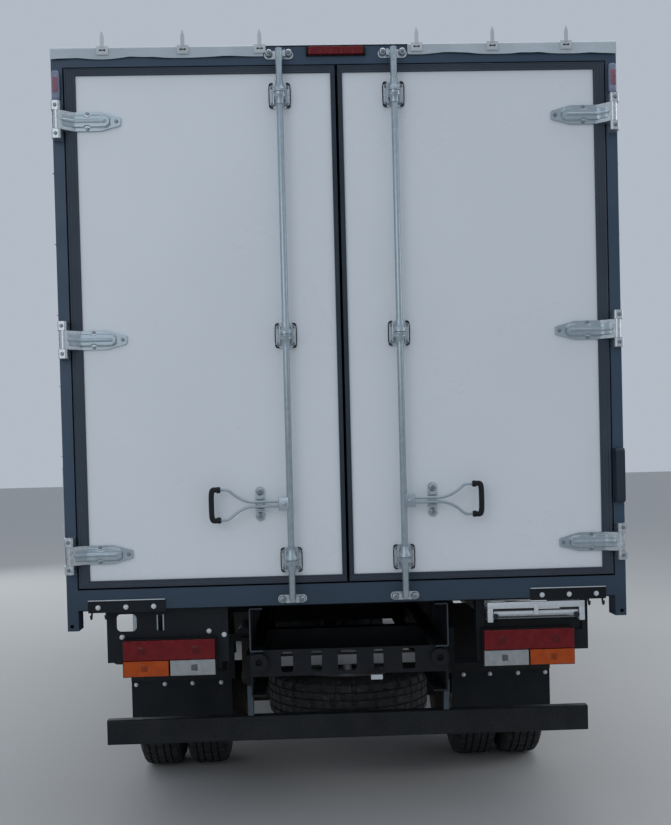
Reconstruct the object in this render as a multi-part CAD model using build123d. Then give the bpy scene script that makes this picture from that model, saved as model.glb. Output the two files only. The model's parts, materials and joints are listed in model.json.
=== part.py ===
from build123d import *
import math
import os

# Box-bodied delivery truck: tarpaulin sides and roof, insulated two-leaf rear doors.
# Sizes are in millimetres. X runs to the right seen from behind, Y forwards, Z up.
# While drawing, Y is counted from the rear faces of the doors and Z from the ground.

# Load body
body_width = 2550.0
body_length = 5700.0
body_top = 3668.0
floor_top = 1236.0
floor_thick = 36.0
half_body = body_width / 2

# Rear portal
pillar_width = 50.0
portal_depth = 110.0
pillar_foot_z = 1047.0
sill_bottom = 1140.0
roof_thick = 12.0
header_top = body_top - roof_thick
header_bottom = header_top - 79.0
door_mid_z = (sill_bottom + header_bottom) / 2
stop_width = 45.0
stop_gap = 10.0

# Rear door leaves
leaf_thick = 60.0
leaf_gap = 7.0
leaf_centre_gap = 6.0
seal_side = 51.0
seal_edge = 33.0
seal_centre = 21.0
leaf_low = sill_bottom + 92.0 + 8.0
leaf_high = header_bottom - leaf_gap
leaf_outer = half_body - pillar_width - leaf_gap
panel_near = leaf_centre_gap + seal_centre
panel_far = leaf_outer - seal_side
panel_low = leaf_low + seal_edge
panel_high = leaf_high - seal_edge

# Rear door hinges
hinge_x = half_body - 30.0
hinge_y = -45.0
hinge_heights = (sill_bottom + 251.0, door_mid_z - 1.5, header_bottom - 245.0)
strap_height = 83.0
strap_thick = 8.0
strap_length = 275.0
barrel_radius = 17.0
pin_radius = 9.0
pin_clearance = 0.5
bracket_height = 40.0

# Lock bars
bar_x = 256.0
bar_y = -55.0
bar_radius = 15.0
bar_low = sill_bottom + 12.0
bar_high = header_top - 16.0
guide_heights = (sill_bottom + 206.0, door_mid_z + 1.5, header_bottom - 142.0)
guide_width = 100.0
guide_height = 113.0
keeper_heights = (sill_bottom + 28.0, header_bottom + 41.0)
keeper_width = 130.0
keeper_height = 37.0
cam_reach = 43.0
cam_half = 12.0
handle_z = sill_bottom + 463.0
grip_x = 602.0
grip_half = 80.0
plate_thick = 6.0
catch_x = 392.0
lug_thick = 12.0
lug_reach = 34.0
lug_gap = 6.0

# Rear lamps
lamp_centre_x = 822.0
lamp_width = 424.0
lamp_high = sill_bottom - 140.0
lamp_low = lamp_high - 172.0
sill_plate_x = (832.0, 1180.0)

# Boarding ladder
ladder_rail_x = (648.0, 1068.0)
ladder_rail_half = 12.0
ladder_guide_half = 20.0
ladder_low = 1035.0
ladder_high = 1085.0
ladder_rear_y = 20.0
rung_radius = 15.0
rung_places_y = (45.0, 330.0, 615.0, 890.0)

# Running gear
tyre_diameter = 838.0
tyre_section = 245.0
tread_width = 188.0
rim_seat_radius = 247.5
rim_flange_radius = 264.0
rim_half = 88.0
tyre_fit = 0.4
wheel_offset = 135.0
rear_axle_y = 1650.0
axle_z = tyre_diameter / 2
twin_mid_x = 915.0
front_wheel_x = 950.0
kingpin_x = 800.0
kingpin_radius = 18.0
stub_radius = 60.0
hub_radius = 105.0
spindle_radius = 38.0
running_clearance = 0.6
tie_arm = 190.0
tie_x = kingpin_x
tie_pin = 11.0
spare_x = 20.0
spare_y = 850.0
spare_z = 575.0

# Rear mudguards and flaps
guard_radius = 470.0
guard_thick = 10.0
guard_end = 160.0
front_guard_radius = 540.0
flap_thick = 8.0
flap_top = 640.0
flap_y = rear_axle_y + (guard_radius + guard_thick) * math.cos(math.radians(guard_end)) - flap_thick - 0.3

# Chassis
rail_half = 460.0
rail_flange = 68.0
rail_web = 8.0
rail_bottom = 700.0
rail_top = 918.0
rail_rear_y = 112.0
subframe_top = floor_top - floor_thick - 80.0
subframe_rear_y = 60.0
underrun_y = 300.0
board_height = 610.0
lath_count = 4

# Cab
cab_gap = 120.0
cab_length = 1620.0
cab_half = 1140.0
cab_roof_half = 1065.0
cab_low = 740.0
cab_roof = 2550.0
cab_wall = 60.0
belt_z = 1330.0
screen_top_z = 2330.0
screen_top_back = 230.0
arch_radius = 560.0
cab_rear_y = body_length + cab_gap
cab_front_y = cab_rear_y + cab_length
front_axle_y = cab_rear_y + 430.0
rail_front_y = cab_front_y - 320.0
engine_rear_y = cab_rear_y + 240.0
engine_length = 870.0
tank_front_y = front_axle_y - 1100.0
tank_length = 900.0
cab_floor_z = axle_z + arch_radius
tunnel_half = 510.0
tunnel_top = 1290.0
tunnel_skin = 40.0
pivot_y = cab_front_y - 240.0
pivot_z = 950.0
cab_door_front = cab_front_y - 360.0
cab_door_rear = cab_rear_y + 210.0
cab_door_low = cab_floor_z + cab_wall + 7.0
cab_door_high = 2330.0
cab_door_gap = 8.0
cab_hinge_heights = (1180.0, 1440.0)
cab_knuckle = 10.0
cab_pin = 4.0
front_y_span = (cab_front_y - 420, cab_front_y + 50)
rear_y_span = (cab_rear_y - 20, cab_rear_y + 100)
door_x_span = (920.0, cab_half + 20)
pane_depth = 8.0
pane_thick = 6.0
seat_fit = 0.3

# Bumper
bumper_reach = 60.0
bumper_thick = 45.0
bumper_low = 360.0
bumper_high = 700.0
bumper_back_y = cab_front_y - 365.0
bracket_low = 552.0
socket_x = 330.0
socket_z = 580.0
socket_radius = 32.0
socket_bore = 15.0
socket_depth = 90.0

# The origin lies on the ground under the middle of the whole truck.
rearmost_y = bar_y - 31.0
foremost_y = cab_front_y + bumper_reach
middle_y = (rearmost_y + foremost_y) / 2


def block(x, y, z):
    # box between two corners, each axis as (low, high)
    centre = Pos((x[0] + x[1]) / 2, (y[0] + y[1]) / 2, (z[0] + z[1]) / 2)
    return centre * Box(x[1] - x[0], y[1] - y[0], z[1] - z[0])


def rod_x(radius, x, y, z):
    return Pos((x[0] + x[1]) / 2, y, z) * Rot(0, 90, 0) * Cylinder(radius, x[1] - x[0])


def rod_y(radius, x, y, z):
    return Pos(x, (y[0] + y[1]) / 2, z) * Rot(90, 0, 0) * Cylinder(radius, y[1] - y[0])


def rod_z(radius, x, y, z):
    return Pos(x, y, (z[0] + z[1]) / 2) * Cylinder(radius, z[1] - z[0])


def strut(start, end, radius):
    # round bar between two points
    path = Vector(*end) - Vector(*start)
    return extrude(Plane(origin=start, z_dir=path) * Circle(radius), amount=path.length)


def outline(corners):
    # flat face from rows of (u, v, corner radius)
    face = make_face(Polyline(*[(u, v) for u, v, radius in corners], close=True))
    for u, v, radius in corners:
        if radius > 0:
            corner = face.vertices().sort_by_distance((u, v, 0))[0]
            face = fillet(corner, radius)
    return face


def along_x(face, x):
    # face drawn as (Y, Z)
    return Pos(x[0], 0, 0) * extrude(Plane.YZ * face, amount=x[1] - x[0])


def along_y(face, y):
    # face drawn as (X, Z)
    return Pos(0, y[1], 0) * extrude(Plane.XZ * face, amount=y[1] - y[0])


def along_z(face, z):
    # face drawn as (X, Y)
    return Pos(0, 0, z[0]) * extrude(face, amount=z[1] - z[0])


def mirrored(shape):
    return mirror(shape, about=Plane.YZ)


def both(shape):
    return [shape, mirrored(shape)]


def save(node, *shapes):
    solids = []
    for shape in shapes:
        solids += (Pos(0, -middle_y, 0) * shape).solids()
    whole = solids[0] if len(solids) == 1 else Compound(solids)
    export_step(whole, f"parts/{node}.step")


def save_pair(node, *shapes):
    # the right-hand piece as drawn, the left-hand piece mirrored
    save(f"{node}_right", *shapes)
    save(f"{node}_left", *[mirrored(shape) for shape in shapes])


# Chassis frame: two channel rails, cross members and the slotted rear member

def channel(outer_x, y, z, flange, web):
    # channel section standing at +X with its flanges pointing inwards
    whole = block((outer_x - flange, outer_x), y, z)
    return whole - block((outer_x - flange - 1, outer_x - web), y, (z[0] + web, z[1] - web))


def chassis_frame():
    rail = channel(rail_half, (rail_rear_y, rail_front_y), (rail_bottom, rail_top), rail_flange, rail_web)
    frame = rail + mirrored(rail)
    inner = rail_half - rail_web
    member_first = rear_axle_y - 500.0
    member_pitch = (cab_rear_y - 320.0 - member_first) / 4
    members = [member_first + index * member_pitch for index in range(5)] + [rail_front_y - 80.0]
    for y in members:
        frame += block((-inner, inner), (y - 45, y + 45), (rail_bottom + 40, rail_top - 60))
    # rear cross member, with slots as (centre x, width)
    plate = block((-rail_half, rail_half), (rail_rear_y - 10, rail_rear_y), (795, rail_top))
    for centre, width in ((-290, 55), (-153, 50), (-10, 87), (136, 46), (277, 60)):
        slot = outline([
            (centre - width / 2, 812, 12), (centre + width / 2, 812, 12),
            (centre + width / 2, 908, 12), (centre - width / 2, 908, 12),
        ])
        plate -= along_y(slot, (rail_rear_y - 20, rail_rear_y + 10))
    frame += plate
    # round buffers on the rail ends
    for x in (-420.0, 420.0):
        buffer = rod_y(42, x, (rail_rear_y - 45, rail_rear_y - 5), 866)
        frame += buffer - rod_y(16, x, (rail_rear_y - 46, rail_rear_y - 20), 866)
    # brackets that carry the cab pivots in front and the cab's rear corners
    for side in (-1, 1):
        x = sorted((side * 392.0, side * 448.0))
        bracket = outline([
            (rail_front_y - 90, rail_top, 0), (rail_front_y - 90, rail_top - 120, 0),
            (rail_front_y, rail_top - 120, 0), (pivot_y + 30, pivot_z - 30, 20),
            (pivot_y + 30, pivot_z + 34, 24), (pivot_y - 34, pivot_z + 34, 24),
        ])
        frame += along_x(bracket, x)
        frame += rod_x(18, sorted((side * 400.0, side * 506.0)), pivot_y, pivot_z)
        post = sorted((side * (rail_half - 4), side * 620.0))
        frame += block(post, (cab_rear_y + 8, cab_rear_y + 62), (rail_bottom + 120, cab_floor_z - seat_fit))
        # flat bar behind each mudflap, hung from the rail outside the spring
        flap_back = (flap_y - seat_fit - 10, flap_y - seat_fit)
        frame += block(sorted((side * 600.0, side * 1180.0)), flap_back, (flap_top - 62, flap_top - 12))
        frame += block(sorted((side * 600.0, side * 640.0)), flap_back, (flap_top - 62, rail_top - 90))
        hanger_x = sorted((side * (rail_half - 4), side * 640.0))
        frame += block(hanger_x, flap_back, (rail_top - 130, rail_top - 90))
    return frame


def body_subframe():
    beam = channel(
        rail_half, (subframe_rear_y, body_length - 60), (rail_top, subframe_top), 60.0, rail_web
    )
    frame = beam + mirrored(beam)
    # cross bearers carry the floor, the outer rails tie their ends together
    bearer_count = 13
    first_y = portal_depth + 40.0
    pitch = (body_length - 130.0 - first_y) / (bearer_count - 1)
    reach = half_body - 48.0
    for index in range(bearer_count):
        y = first_y + index * pitch
        bearer = channel(y + 30.0, (-reach, reach), (subframe_top, floor_top - floor_thick), 60.0, 6.0)
        frame += turn_channel(bearer)
    rail = block((reach - 1, half_body - 12), (portal_depth, body_length - 50), (subframe_top, floor_top))
    frame += rail + mirrored(rail)
    return frame


def turn_channel(shape):
    # swap X and Y: a channel drawn along Y is laid across the truck
    return mirror(shape, about=Plane((0, 0, 0), x_dir=(0, 0, 1), z_dir=(1, -1, 0)))


# Axles

def leaf_spring(x, y, low_z, half_length, rise, pack, width):
    # thick in the middle, half as thick at the eyes
    rear, front, eye_z = y - half_length, y + half_length, low_z + rise
    upper = ThreePointArc((rear, eye_z + pack / 2), (y, low_z + pack), (front, eye_z + pack / 2))
    lower = ThreePointArc((rear, eye_z), (y, low_z), (front, eye_z))
    ends = [Line(upper @ 0, lower @ 0), Line(upper @ 1, lower @ 1)]
    band = make_face([upper, lower] + ends)
    return along_x(band, (x - width / 2, x + width / 2))


def front_axle():
    half = 680.0
    beam = block((-half, half), (front_axle_y - 38, front_axle_y + 38), (axle_z - 105, axle_z - 20))
    beam -= block((-half + 60, half - 60), (front_axle_y + 14, front_axle_y + 39), (axle_z - 87, axle_z - 38))
    beam -= block((-half + 60, half - 60), (front_axle_y - 39, front_axle_y - 14), (axle_z - 87, axle_z - 38))
    for side in (-1, 1):
        arm_x = sorted((side * (half - 40), side * kingpin_x))
        arm = block(arm_x, (front_axle_y - 32, front_axle_y + 32), (axle_z - 60, axle_z + 40))
        eye = rod_z(46, side * kingpin_x, front_axle_y, (axle_z - 62, axle_z + 62))
        beam += arm + eye
        beam -= rod_z(kingpin_radius + running_clearance, side * kingpin_x, front_axle_y, (0, axle_z + 100))
        spring_x = side * (rail_half - 35)
        low = axle_z - 20.0
        beam += leaf_spring(spring_x, front_axle_y, low, 620, 190, 62, 75)
        seat_y = (front_axle_y - 70, front_axle_y + 70)
        beam += block((spring_x - 50, spring_x + 50), seat_y, (low - 10, low + 78))
        for end in (-1, 1):
            eye_y = front_axle_y + end * 620
            eye_z = low + 190 + 24
            beam += rod_x(32, (spring_x - 37, spring_x + 37), eye_y, eye_z)
            beam += block((spring_x - 32, spring_x + 32), (eye_y - 34, eye_y + 34), (eye_z, rail_bottom))
    return beam


def rear_axle():
    low = axle_z + 68.0
    axle = rod_x(72, (-640, 640), rear_axle_y, axle_z)
    axle += rod_y(185, 0, (rear_axle_y - 95, rear_axle_y + 95), axle_z)
    axle += rod_y(120, 0, (rear_axle_y - 165, rear_axle_y + 60), axle_z)
    nose_y = rear_axle_y + 330
    nose = Plane(origin=(0, rear_axle_y + 60, axle_z), z_dir=(0, 1, 0)) * Circle(110)
    axle += extrude(nose, amount=270, taper=12)
    axle += strut((0, nose_y - 20, axle_z), (0, engine_rear_y - 3, 640), 48)
    for side in (-1, 1):
        x = side * (rail_half + 50)
        axle += leaf_spring(x, rear_axle_y, low, 700, 130, 84, 80)
        axle += block((x - 56, x + 56), (rear_axle_y - 85, rear_axle_y + 85), (axle_z - 30, low + 100))
        for end in (-1, 1):
            eye_y = rear_axle_y + end * 700
            eye_z = low + 130 + 30
            axle += rod_x(34, (x - 40, x + 40), eye_y, eye_z)
            axle += block((x - 34, x + 34), (eye_y - 38, eye_y + 38), (eye_z, rail_top - 70))
            bridge = sorted((side * rail_half, side * (rail_half + 84)))
            axle += block(bridge, (eye_y - 38, eye_y + 38), (rail_top - 150, rail_top - 70))
        axle += rod_x(175, sorted((side * 560, side * 650)), rear_axle_y, axle_z)
        axle += rod_x(stub_radius, sorted((side * 600, side * (twin_mid_x + 60))), rear_axle_y, axle_z)
    return axle


# Wheels, drawn about the X axis and then placed

def tyre(centre_x, axle_y):
    bead = rim_seat_radius + tyre_fit
    crown = tyre_diameter / 2
    half = tyre_section / 2
    heel = (rim_half - 2.5, bead)
    lip = (rim_half - 0.6, rim_flange_radius + 2.0)
    belly = bead + 0.48 * (crown - bead)
    shoulder = (tread_width / 2 + 14, crown - 34)
    bevel = (tread_width / 2 + 8, crown - 12)
    tread_edge = (tread_width / 2 - 6, crown - 3)
    ridge = (tread_width / 4, crown)
    right = [
        Line(heel, lip),
        ThreePointArc(lip, (half, belly), shoulder),
        Polyline(shoulder, bevel, tread_edge, ridge),
    ]
    left = [mirror(edge, about=Plane.YZ) for edge in right]
    tread = Line(ridge, (-ridge[0], ridge[1]))
    base = Line(heel, (-heel[0], heel[1]))
    profile = make_face(right + left + [tread, base])
    return Pos(centre_x, axle_y, axle_z) * revolve(profile, Axis.X)


def rim(offset):
    # steel rim: barrel, dished disc with hand holes; the disc stands off towards +X by the offset
    lip = rim_half + 9.0
    wall = 8.0
    inner = rim_seat_radius - wall
    barrel = outline([
        (-lip, rim_flange_radius, 0), (-rim_half, rim_flange_radius, 0), (-rim_half + 2, rim_seat_radius, 0),
        (rim_half - 2, rim_seat_radius, 0), (rim_half, rim_flange_radius, 0), (lip, rim_flange_radius, 0),
        (lip, rim_flange_radius - 9, 0), (rim_half - 4, inner, 0), (-rim_half + 4, inner, 0),
        (-lip, rim_flange_radius - 9, 0),
    ])
    face = offset
    disc = outline([
        (rim_half - 40, inner + 2, 0), (rim_half - 12, inner + 2, 0), (face - 2, 172, 14), (face, 158, 0),
        (face, hub_radius - 30, 0), (face - 12, hub_radius - 30, 0), (face - 12, 160, 0),
        (face - 18, 172, 10),
    ])
    wheel = revolve(barrel, Axis.X) + revolve(disc, Axis.X)
    for index in range(8):
        hole = Pos(0, 205, 0) * Rot(0, 90, 0) * Cylinder(27, 4 * offset)
        wheel -= Rot(index * 45 + 22.5, 0, 0) * hole
    return wheel


def front_wheel():
    mount = front_wheel_x + wheel_offset
    wheel = Pos(front_wheel_x, front_axle_y, axle_z) * rim(wheel_offset)
    hub = rod_x(150, (mount - 42, mount - 12), front_axle_y, axle_z)
    hub += rod_x(hub_radius, (front_wheel_x - 40, mount + 30), front_axle_y, axle_z)
    hub += rod_x(172, (front_wheel_x - 70, front_wheel_x + 50), front_axle_y, axle_z)
    hub += rod_x(60, (mount, mount + 58), front_axle_y, axle_z)
    bore = rod_x(spindle_radius + running_clearance, (kingpin_x, mount), front_axle_y, axle_z)
    return wheel + hub - bore


def rear_wheels():
    outer = Pos(twin_mid_x + wheel_offset, rear_axle_y, axle_z) * mirror(rim(wheel_offset), about=Plane.YZ)
    inner = Pos(twin_mid_x - wheel_offset, rear_axle_y, axle_z) * rim(wheel_offset)
    hub = rod_x(150, (twin_mid_x - 45, twin_mid_x + 20), rear_axle_y, axle_z)
    hub += rod_x(172, (twin_mid_x - 220, twin_mid_x - 40), rear_axle_y, axle_z)
    hub += rod_x(hub_radius, (twin_mid_x - 40, twin_mid_x + 120), rear_axle_y, axle_z)
    hub += rod_x(80, (twin_mid_x + 100, twin_mid_x + 140), rear_axle_y, axle_z)
    bore = rod_x(stub_radius + running_clearance, (600, twin_mid_x + 70), rear_axle_y, axle_z)
    return outer + inner + hub - bore


def knuckle():
    pin_z = (axle_z - 100, axle_z + 100)
    piece = rod_z(kingpin_radius, kingpin_x, front_axle_y, pin_z)
    for low in (axle_z - 104, axle_z + 68):
        lug = rod_z(44, kingpin_x, front_axle_y, (low, low + 36))
        lug += block((kingpin_x, kingpin_x + 76), (front_axle_y - 40, front_axle_y + 40), (low, low + 36))
        piece += lug
    plate_y = (front_axle_y - 60, front_axle_y + 60)
    piece += block((kingpin_x + 54, kingpin_x + 76), plate_y, (axle_z - 104, axle_z + 104))
    spindle_end = front_wheel_x + wheel_offset - 60
    piece += rod_x(spindle_radius, (kingpin_x + 60, spindle_end), front_axle_y, axle_z)
    # steering arm to the rear with its ball seat
    arm_y = front_axle_y - tie_arm
    piece += block((tie_x - 22, kingpin_x + 40), (arm_y - 24, arm_y + 24), (axle_z - 104, axle_z - 84))
    piece += block((kingpin_x - 4, kingpin_x + 40), (arm_y, front_axle_y), (axle_z - 104, axle_z - 80))
    return piece - rod_z(tie_pin + running_clearance, tie_x, arm_y, (0, axle_z))


def tie_rod():
    y = front_axle_y - tie_arm
    z = axle_z - 135
    rod = rod_x(16, (-tie_x, tie_x), y, z)
    for side in (-1, 1):
        rod += rod_z(26, side * tie_x, y, (z - 22, z + 22))
        rod += rod_z(tie_pin, side * tie_x, y, (z, axle_z - 86))
    return rod


def lying(shape):
    # a wheel drawn about the X axis at the truck's axle height is laid flat under the rails
    return Pos(spare_x, spare_y, spare_z) * Rot(0, -90, 0) * shape


def spare_tyre():
    return lying(Pos(0, 0, -axle_z) * tyre(0, 0))


def spare_wheel():
    wheel = lying(rim(wheel_offset - 45))
    top = spare_z + wheel_offset - 45
    # carrier: hoist post, plate through the disc and a bridge between the rails
    wheel += rod_z(hub_radius, spare_x, spare_y, (top - 14, top + 6))
    wheel += rod_z(22, spare_x, spare_y, (top, rail_bottom + 44))
    bridge_half = rail_half - rail_flange + 40
    bridge_z = (rail_bottom + rail_web + seat_fit, rail_bottom + 60)
    wheel += block((-bridge_half, bridge_half), (spare_y - 40, spare_y + 40), bridge_z)
    return wheel


# Pieces hung on the chassis

def engine_block():
    engine = block((-330, 330), (engine_rear_y, engine_rear_y + engine_length), (500, 1190))
    # feet on the lower flanges of the rails
    for y in (engine_rear_y + 120.0, engine_rear_y + engine_length - 130.0):
        foot_z = (rail_bottom + rail_web + seat_fit, rail_bottom + 80)
        engine += block((-rail_half + 20, rail_half - 20), (y - 40, y + 40), foot_z)
    return engine


def fuel_tank():
    face = outline([(-1130, 430, 70), (-540, 430, 70), (-540, 920, 70), (-1130, 920, 70)])
    tank = along_y(face, (tank_front_y - tank_length, tank_front_y))
    for y in (tank_front_y - tank_length + 170.0, tank_front_y - 170.0):
        ring = offset(face, amount=5) - offset(face, amount=-5)
        tank += along_y(ring, (y - 25, y + 25))
        tank += block((-545, -rail_half), (y - 25, y + 25), (740, 860))
    tank += rod_y(45, -1080, (tank_front_y - 10, tank_front_y + 25), 850)
    return tank


def battery_box():
    rear_y = tank_front_y - 500.0
    box = block((560, 1120), (rear_y, tank_front_y), (520, 900))
    box = fillet(box.edges().filter_by(Axis.Y), 20)
    for y in (rear_y + 100, tank_front_y - 150):
        box += block((rail_half, 565), (y, y + 50), (760, 860))
    # air vessel behind the battery box
    vessel = (rear_y - 880, rear_y - 120)
    box += rod_y(120, 700, vessel, 720)
    for y in (vessel[0] + 180, vessel[1] - 220):
        box += block((rail_half, 700), (y, y + 40), (760, 830))
    return box


def silencer():
    face = outline([(-900, 470, 90), (-540, 470, 90), (-540, 690, 90), (-900, 690, 90)])
    rear_y = tank_front_y - tank_length - 1000.0
    body = along_y(face, (rear_y, rear_y + 800))
    body += strut((-640, rear_y + 10, 560), (-640, rear_y - 350, 560), 45)
    for y in (rear_y + 150, rear_y + 610):
        body += block((-700, -rail_half), (y, y + 40), (680, 760))
    return body


def side_guards():
    # two rails on each side between the axles, on three posts
    pieces = []
    rear_y, front_y = rear_axle_y + 680.0, cab_rear_y - 180.0
    for side in (-1, 1):
        guard = None
        for z in (480.0, 760.0):
            bar = block(sorted((side * 1215.0, side * 1240.0)), (rear_y, front_y), (z, z + 120))
            guard = bar if guard is None else guard + bar
        for y in (rear_y + 150, (rear_y + front_y) / 2, front_y - 80):
            guard += block(sorted((side * 1180.0, side * 1216.0)), (y - 25, y + 25), (480, subframe_top))
        pieces.append(guard)
    return pieces


def underrun_bar():
    length = 1165.0
    back = underrun_y + 60.0
    bar = block((-length, length), (underrun_y, back), (447, 567))
    bar = fillet(bar.edges().filter_by(Axis.X), 10)
    bar -= block((-length - 1, length + 1), (underrun_y + 5, back - 5), (452, 562))
    for x in (-rail_half, rail_half):
        arm = outline([
            (underrun_y, 566, 0), (back, 566, 0), (back + 60, rail_bottom + 90, 20),
            (back + 60, rail_top - 40, 20), (underrun_y - 40, rail_top - 40, 20),
            (underrun_y - 40, rail_bottom + 20, 20),
        ])
        bar += along_x(arm, sorted((x, x + math.copysign(26.0, x))))
    return bar


def mudguard_arc(axle_y, radius, thick, start, end, x):
    # sheet bent around the wheel between two angles counted from straight forwards
    middle = (start + end) / 2
    def place(r, angle):
        a = math.radians(angle)
        return (axle_y + r * math.cos(a), axle_z + r * math.sin(a))
    outer = ThreePointArc(*[place(radius + thick, angle) for angle in (start, middle, end)])
    inner = ThreePointArc(*[place(radius, angle) for angle in (start, middle, end)])
    ends = [Line(outer @ 0, inner @ 0), Line(outer @ 1, inner @ 1)]
    return along_x(make_face([outer, inner] + ends), x)


def mudguards():
    rear = mudguard_arc(rear_axle_y, guard_radius, guard_thick, 18, guard_end, (645, 1180))
    arc_top = axle_z + guard_radius
    rear += block((rail_half, 700), (rear_axle_y - 30, rear_axle_y + 30), (arc_top, arc_top + 25))
    front = mudguard_arc(front_axle_y, front_guard_radius, 12, -2, 205, (850, 1130))
    # entry steps ahead of the wheel, each tread open to the side
    rear_y, front_y = front_axle_y + front_guard_radius + 5, bumper_back_y - 15
    steps = block((800, 1130), (rear_y, front_y), (380, cab_low - 8))
    steps -= block((950, 1131), (rear_y + 55, front_y - 45), (430, 560))
    steps -= block((1010, 1131), (rear_y + 55, front_y - 45), (590, cab_low))
    front += steps
    front += block((rail_half, 805), (rear_y + 95, rear_y + 155), (rail_bottom, rail_bottom + 30))
    stay_y = (front_axle_y - 560, front_axle_y - 530)
    front += block((rail_half, 860), stay_y, (rail_bottom - 40, rail_bottom + 40))
    return both(rear) + both(front)


def mudflaps():
    face = outline([(620, 235, 25), (1180, 235, 25), (1180, flap_top, 0), (620, flap_top, 0)])
    return both(along_y(face, (flap_y, flap_y + flap_thick)))


def front_bumper():
    def shell(grow, low, high):
        face = outline([
            (-cab_half - grow, bumper_back_y, 0), (-cab_half - grow, cab_front_y + grow, 220 + grow),
            (cab_half + grow, cab_front_y + grow, 220 + grow), (cab_half + grow, bumper_back_y, 0),
        ])
        return along_z(face, (low, high))
    bumper = shell(bumper_reach, bumper_low, bumper_high)
    inside = shell(bumper_reach - bumper_thick, bumper_low - 1, bumper_high + 1)
    bumper -= inside
    bumper -= block((-1300, 1300), (bumper_back_y - 1, bumper_back_y + 0.5), (bumper_low, bumper_high))
    for side in (-1, 1):
        bumper -= along_y(lamp_face(side, 0), (cab_front_y - 300, cab_front_y + 200))
    plate_recess = outline([(-260, 420, 20), (260, 420, 20), (260, 530, 20), (-260, 530, 20)])
    bumper -= along_y(plate_recess, (cab_front_y + 40, cab_front_y + 100))
    # brackets back to the rails
    for side in (-1, 1):
        x = sorted((side * (rail_half - rail_flange), side * (rail_half - 10)))
        bumper += block(x, (rail_front_y - 70, cab_front_y + 18), (bracket_low, bracket_low + 56))
        bumper += block(x, (rail_front_y - 70, rail_front_y - 10), (bracket_low, rail_bottom))
        bumper -= rod_y(socket_radius + 8, side * socket_x, (cab_front_y, foremost_y + 1), socket_z)
    return bumper


def tow_sockets():
    # forged sockets on the front cross member that take a screwed towing eye
    front_member = rail_front_y - 80 + 45
    x = (socket_x - 30, socket_x + 30)
    body = block(x, (front_member, front_member + 60), (socket_z - 28, rail_top - 80))
    body += block(x, (front_member, cab_front_y - 40), (socket_z - 28, socket_z + 28))
    body += rod_y(socket_radius, socket_x, (cab_front_y - 45, foremost_y - 6), socket_z)
    body -= rod_y(socket_bore, socket_x, (foremost_y - 6 - socket_depth, foremost_y), socket_z)
    return both(body)


def lamp_face(side, inset):
    low, high = 470 + inset, 630 - inset
    near, far = 700 + inset, 1010 - inset
    rows = [(near, low, 30), (far, low, 30), (far, high, 30), (near, high, 30)]
    return outline([(side * x, z, radius) for x, z, radius in rows])


def headlamps():
    lamps = []
    for side in (-1, 1):
        lens = along_y(lamp_face(side, seat_fit), (cab_front_y - 40, cab_front_y + bumper_reach - 12))
        lamps.append(lens)
    return lamps


# Load body

def floor_deck():
    half = half_body - 49.0
    deck = block((-half, half), (portal_depth, body_length - 50), (floor_top - floor_thick, floor_top))
    return deck


def front_wall():
    half = half_body - 15.0
    return block((-half, half), (body_length - 50, body_length), (subframe_top, header_top))


def side_boards():
    # two dropsides on each side, split at the middle post
    pieces = []
    middle = (portal_depth + body_length) / 2
    for side in (-1, 1):
        for y in ((portal_depth + 4, middle - 55), (middle + 55, body_length - 54)):
            board_x = sorted((side * (half_body - 38), side * (half_body - 13)))
            board = block(board_x, y, (floor_top + seat_fit, floor_top + board_height))
            groove_x = sorted((side * (half_body - 16), side * (half_body - 12)))
            for z in [floor_top + board_height * row / 4 for row in (1, 2, 3)]:
                board -= block(groove_x, (y[0] - 1, y[1] + 1), (z, z + 12))
            pieces.append(board)
    return pieces


def tilt_frame():
    inner = half_body - 75.0
    outer = half_body - 38.0 - seat_fit
    middle = (portal_depth + body_length) / 2
    frame = None
    for side in (-1, 1):
        rail_x = sorted((side * inner, side * (half_body - 13)))
        rail = block(rail_x, (portal_depth, body_length - 50), (header_bottom - 17, header_top - 26))
        frame = rail if frame is None else frame + rail
        for y in (middle, portal_depth + 40, body_length - 90):
            post_x = sorted((side * inner, side * outer))
            frame += block(post_x, (y - 40, y + 40), (floor_top, header_bottom - 10))
        # laths between the posts, above the boards
        lath_pitch = (header_bottom - floor_top - board_height) / (lath_count + 1)
        for row in range(lath_count):
            z = floor_top + board_height + (row + 1) * lath_pitch
            lath_x = sorted((side * outer, side * (half_body - 14)))
            frame += block(lath_x, (portal_depth, body_length - 50), (z - 50, z + 50))
        middle_x = sorted((side * outer, side * (half_body - 13)))
        frame += block(middle_x, (middle - 50, middle + 50), (floor_top, header_bottom))
    bow_count = 9
    pitch = (body_length - 140 - portal_depth) / (bow_count + 1)
    for index in range(bow_count):
        y = portal_depth + 45 + (index + 1) * pitch
        frame += block((-inner, inner), (y - 15, y + 15), (header_top - 50, header_top - 10))
    return frame


def tilt_sides():
    inner = half_body - 12.0 + seat_fit
    sheet_y = (portal_depth + seat_fit, body_length)
    return both(block((inner, inner + 5), sheet_y, (sill_bottom + 20, header_top - 4)))


def tilt_roof():
    top = block((-half_body + 2, half_body - 2), (-6, body_length + 4), (header_top + seat_fit, body_top - 6))
    crown = outline([
        (-half_body + 2, body_top - 8, 0), (half_body - 2, body_top - 8, 0),
        (half_body - 60, body_top, 0), (-half_body + 60, body_top, 0),
    ])
    top += along_y(crown, (-6, body_length + 4))
    for side in (-1, 1):
        skirt_y = (portal_depth + seat_fit, body_length + 4)
        skirt_x = sorted((side * (half_body - 6), side * (half_body - 1)))
        top += block(skirt_x, skirt_y, (header_top - 150, body_top - 6))
        flap_x = sorted((side * 335.0, side * (half_body - 2)))
        top += block(flap_x, (-6, -seat_fit), (header_bottom + 29, body_top - 6))
    front_y = (body_length + seat_fit, body_length + 4)
    top += block((-half_body + 2, half_body - 2), front_y, (header_top - 150, body_top - 6))
    return top


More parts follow.
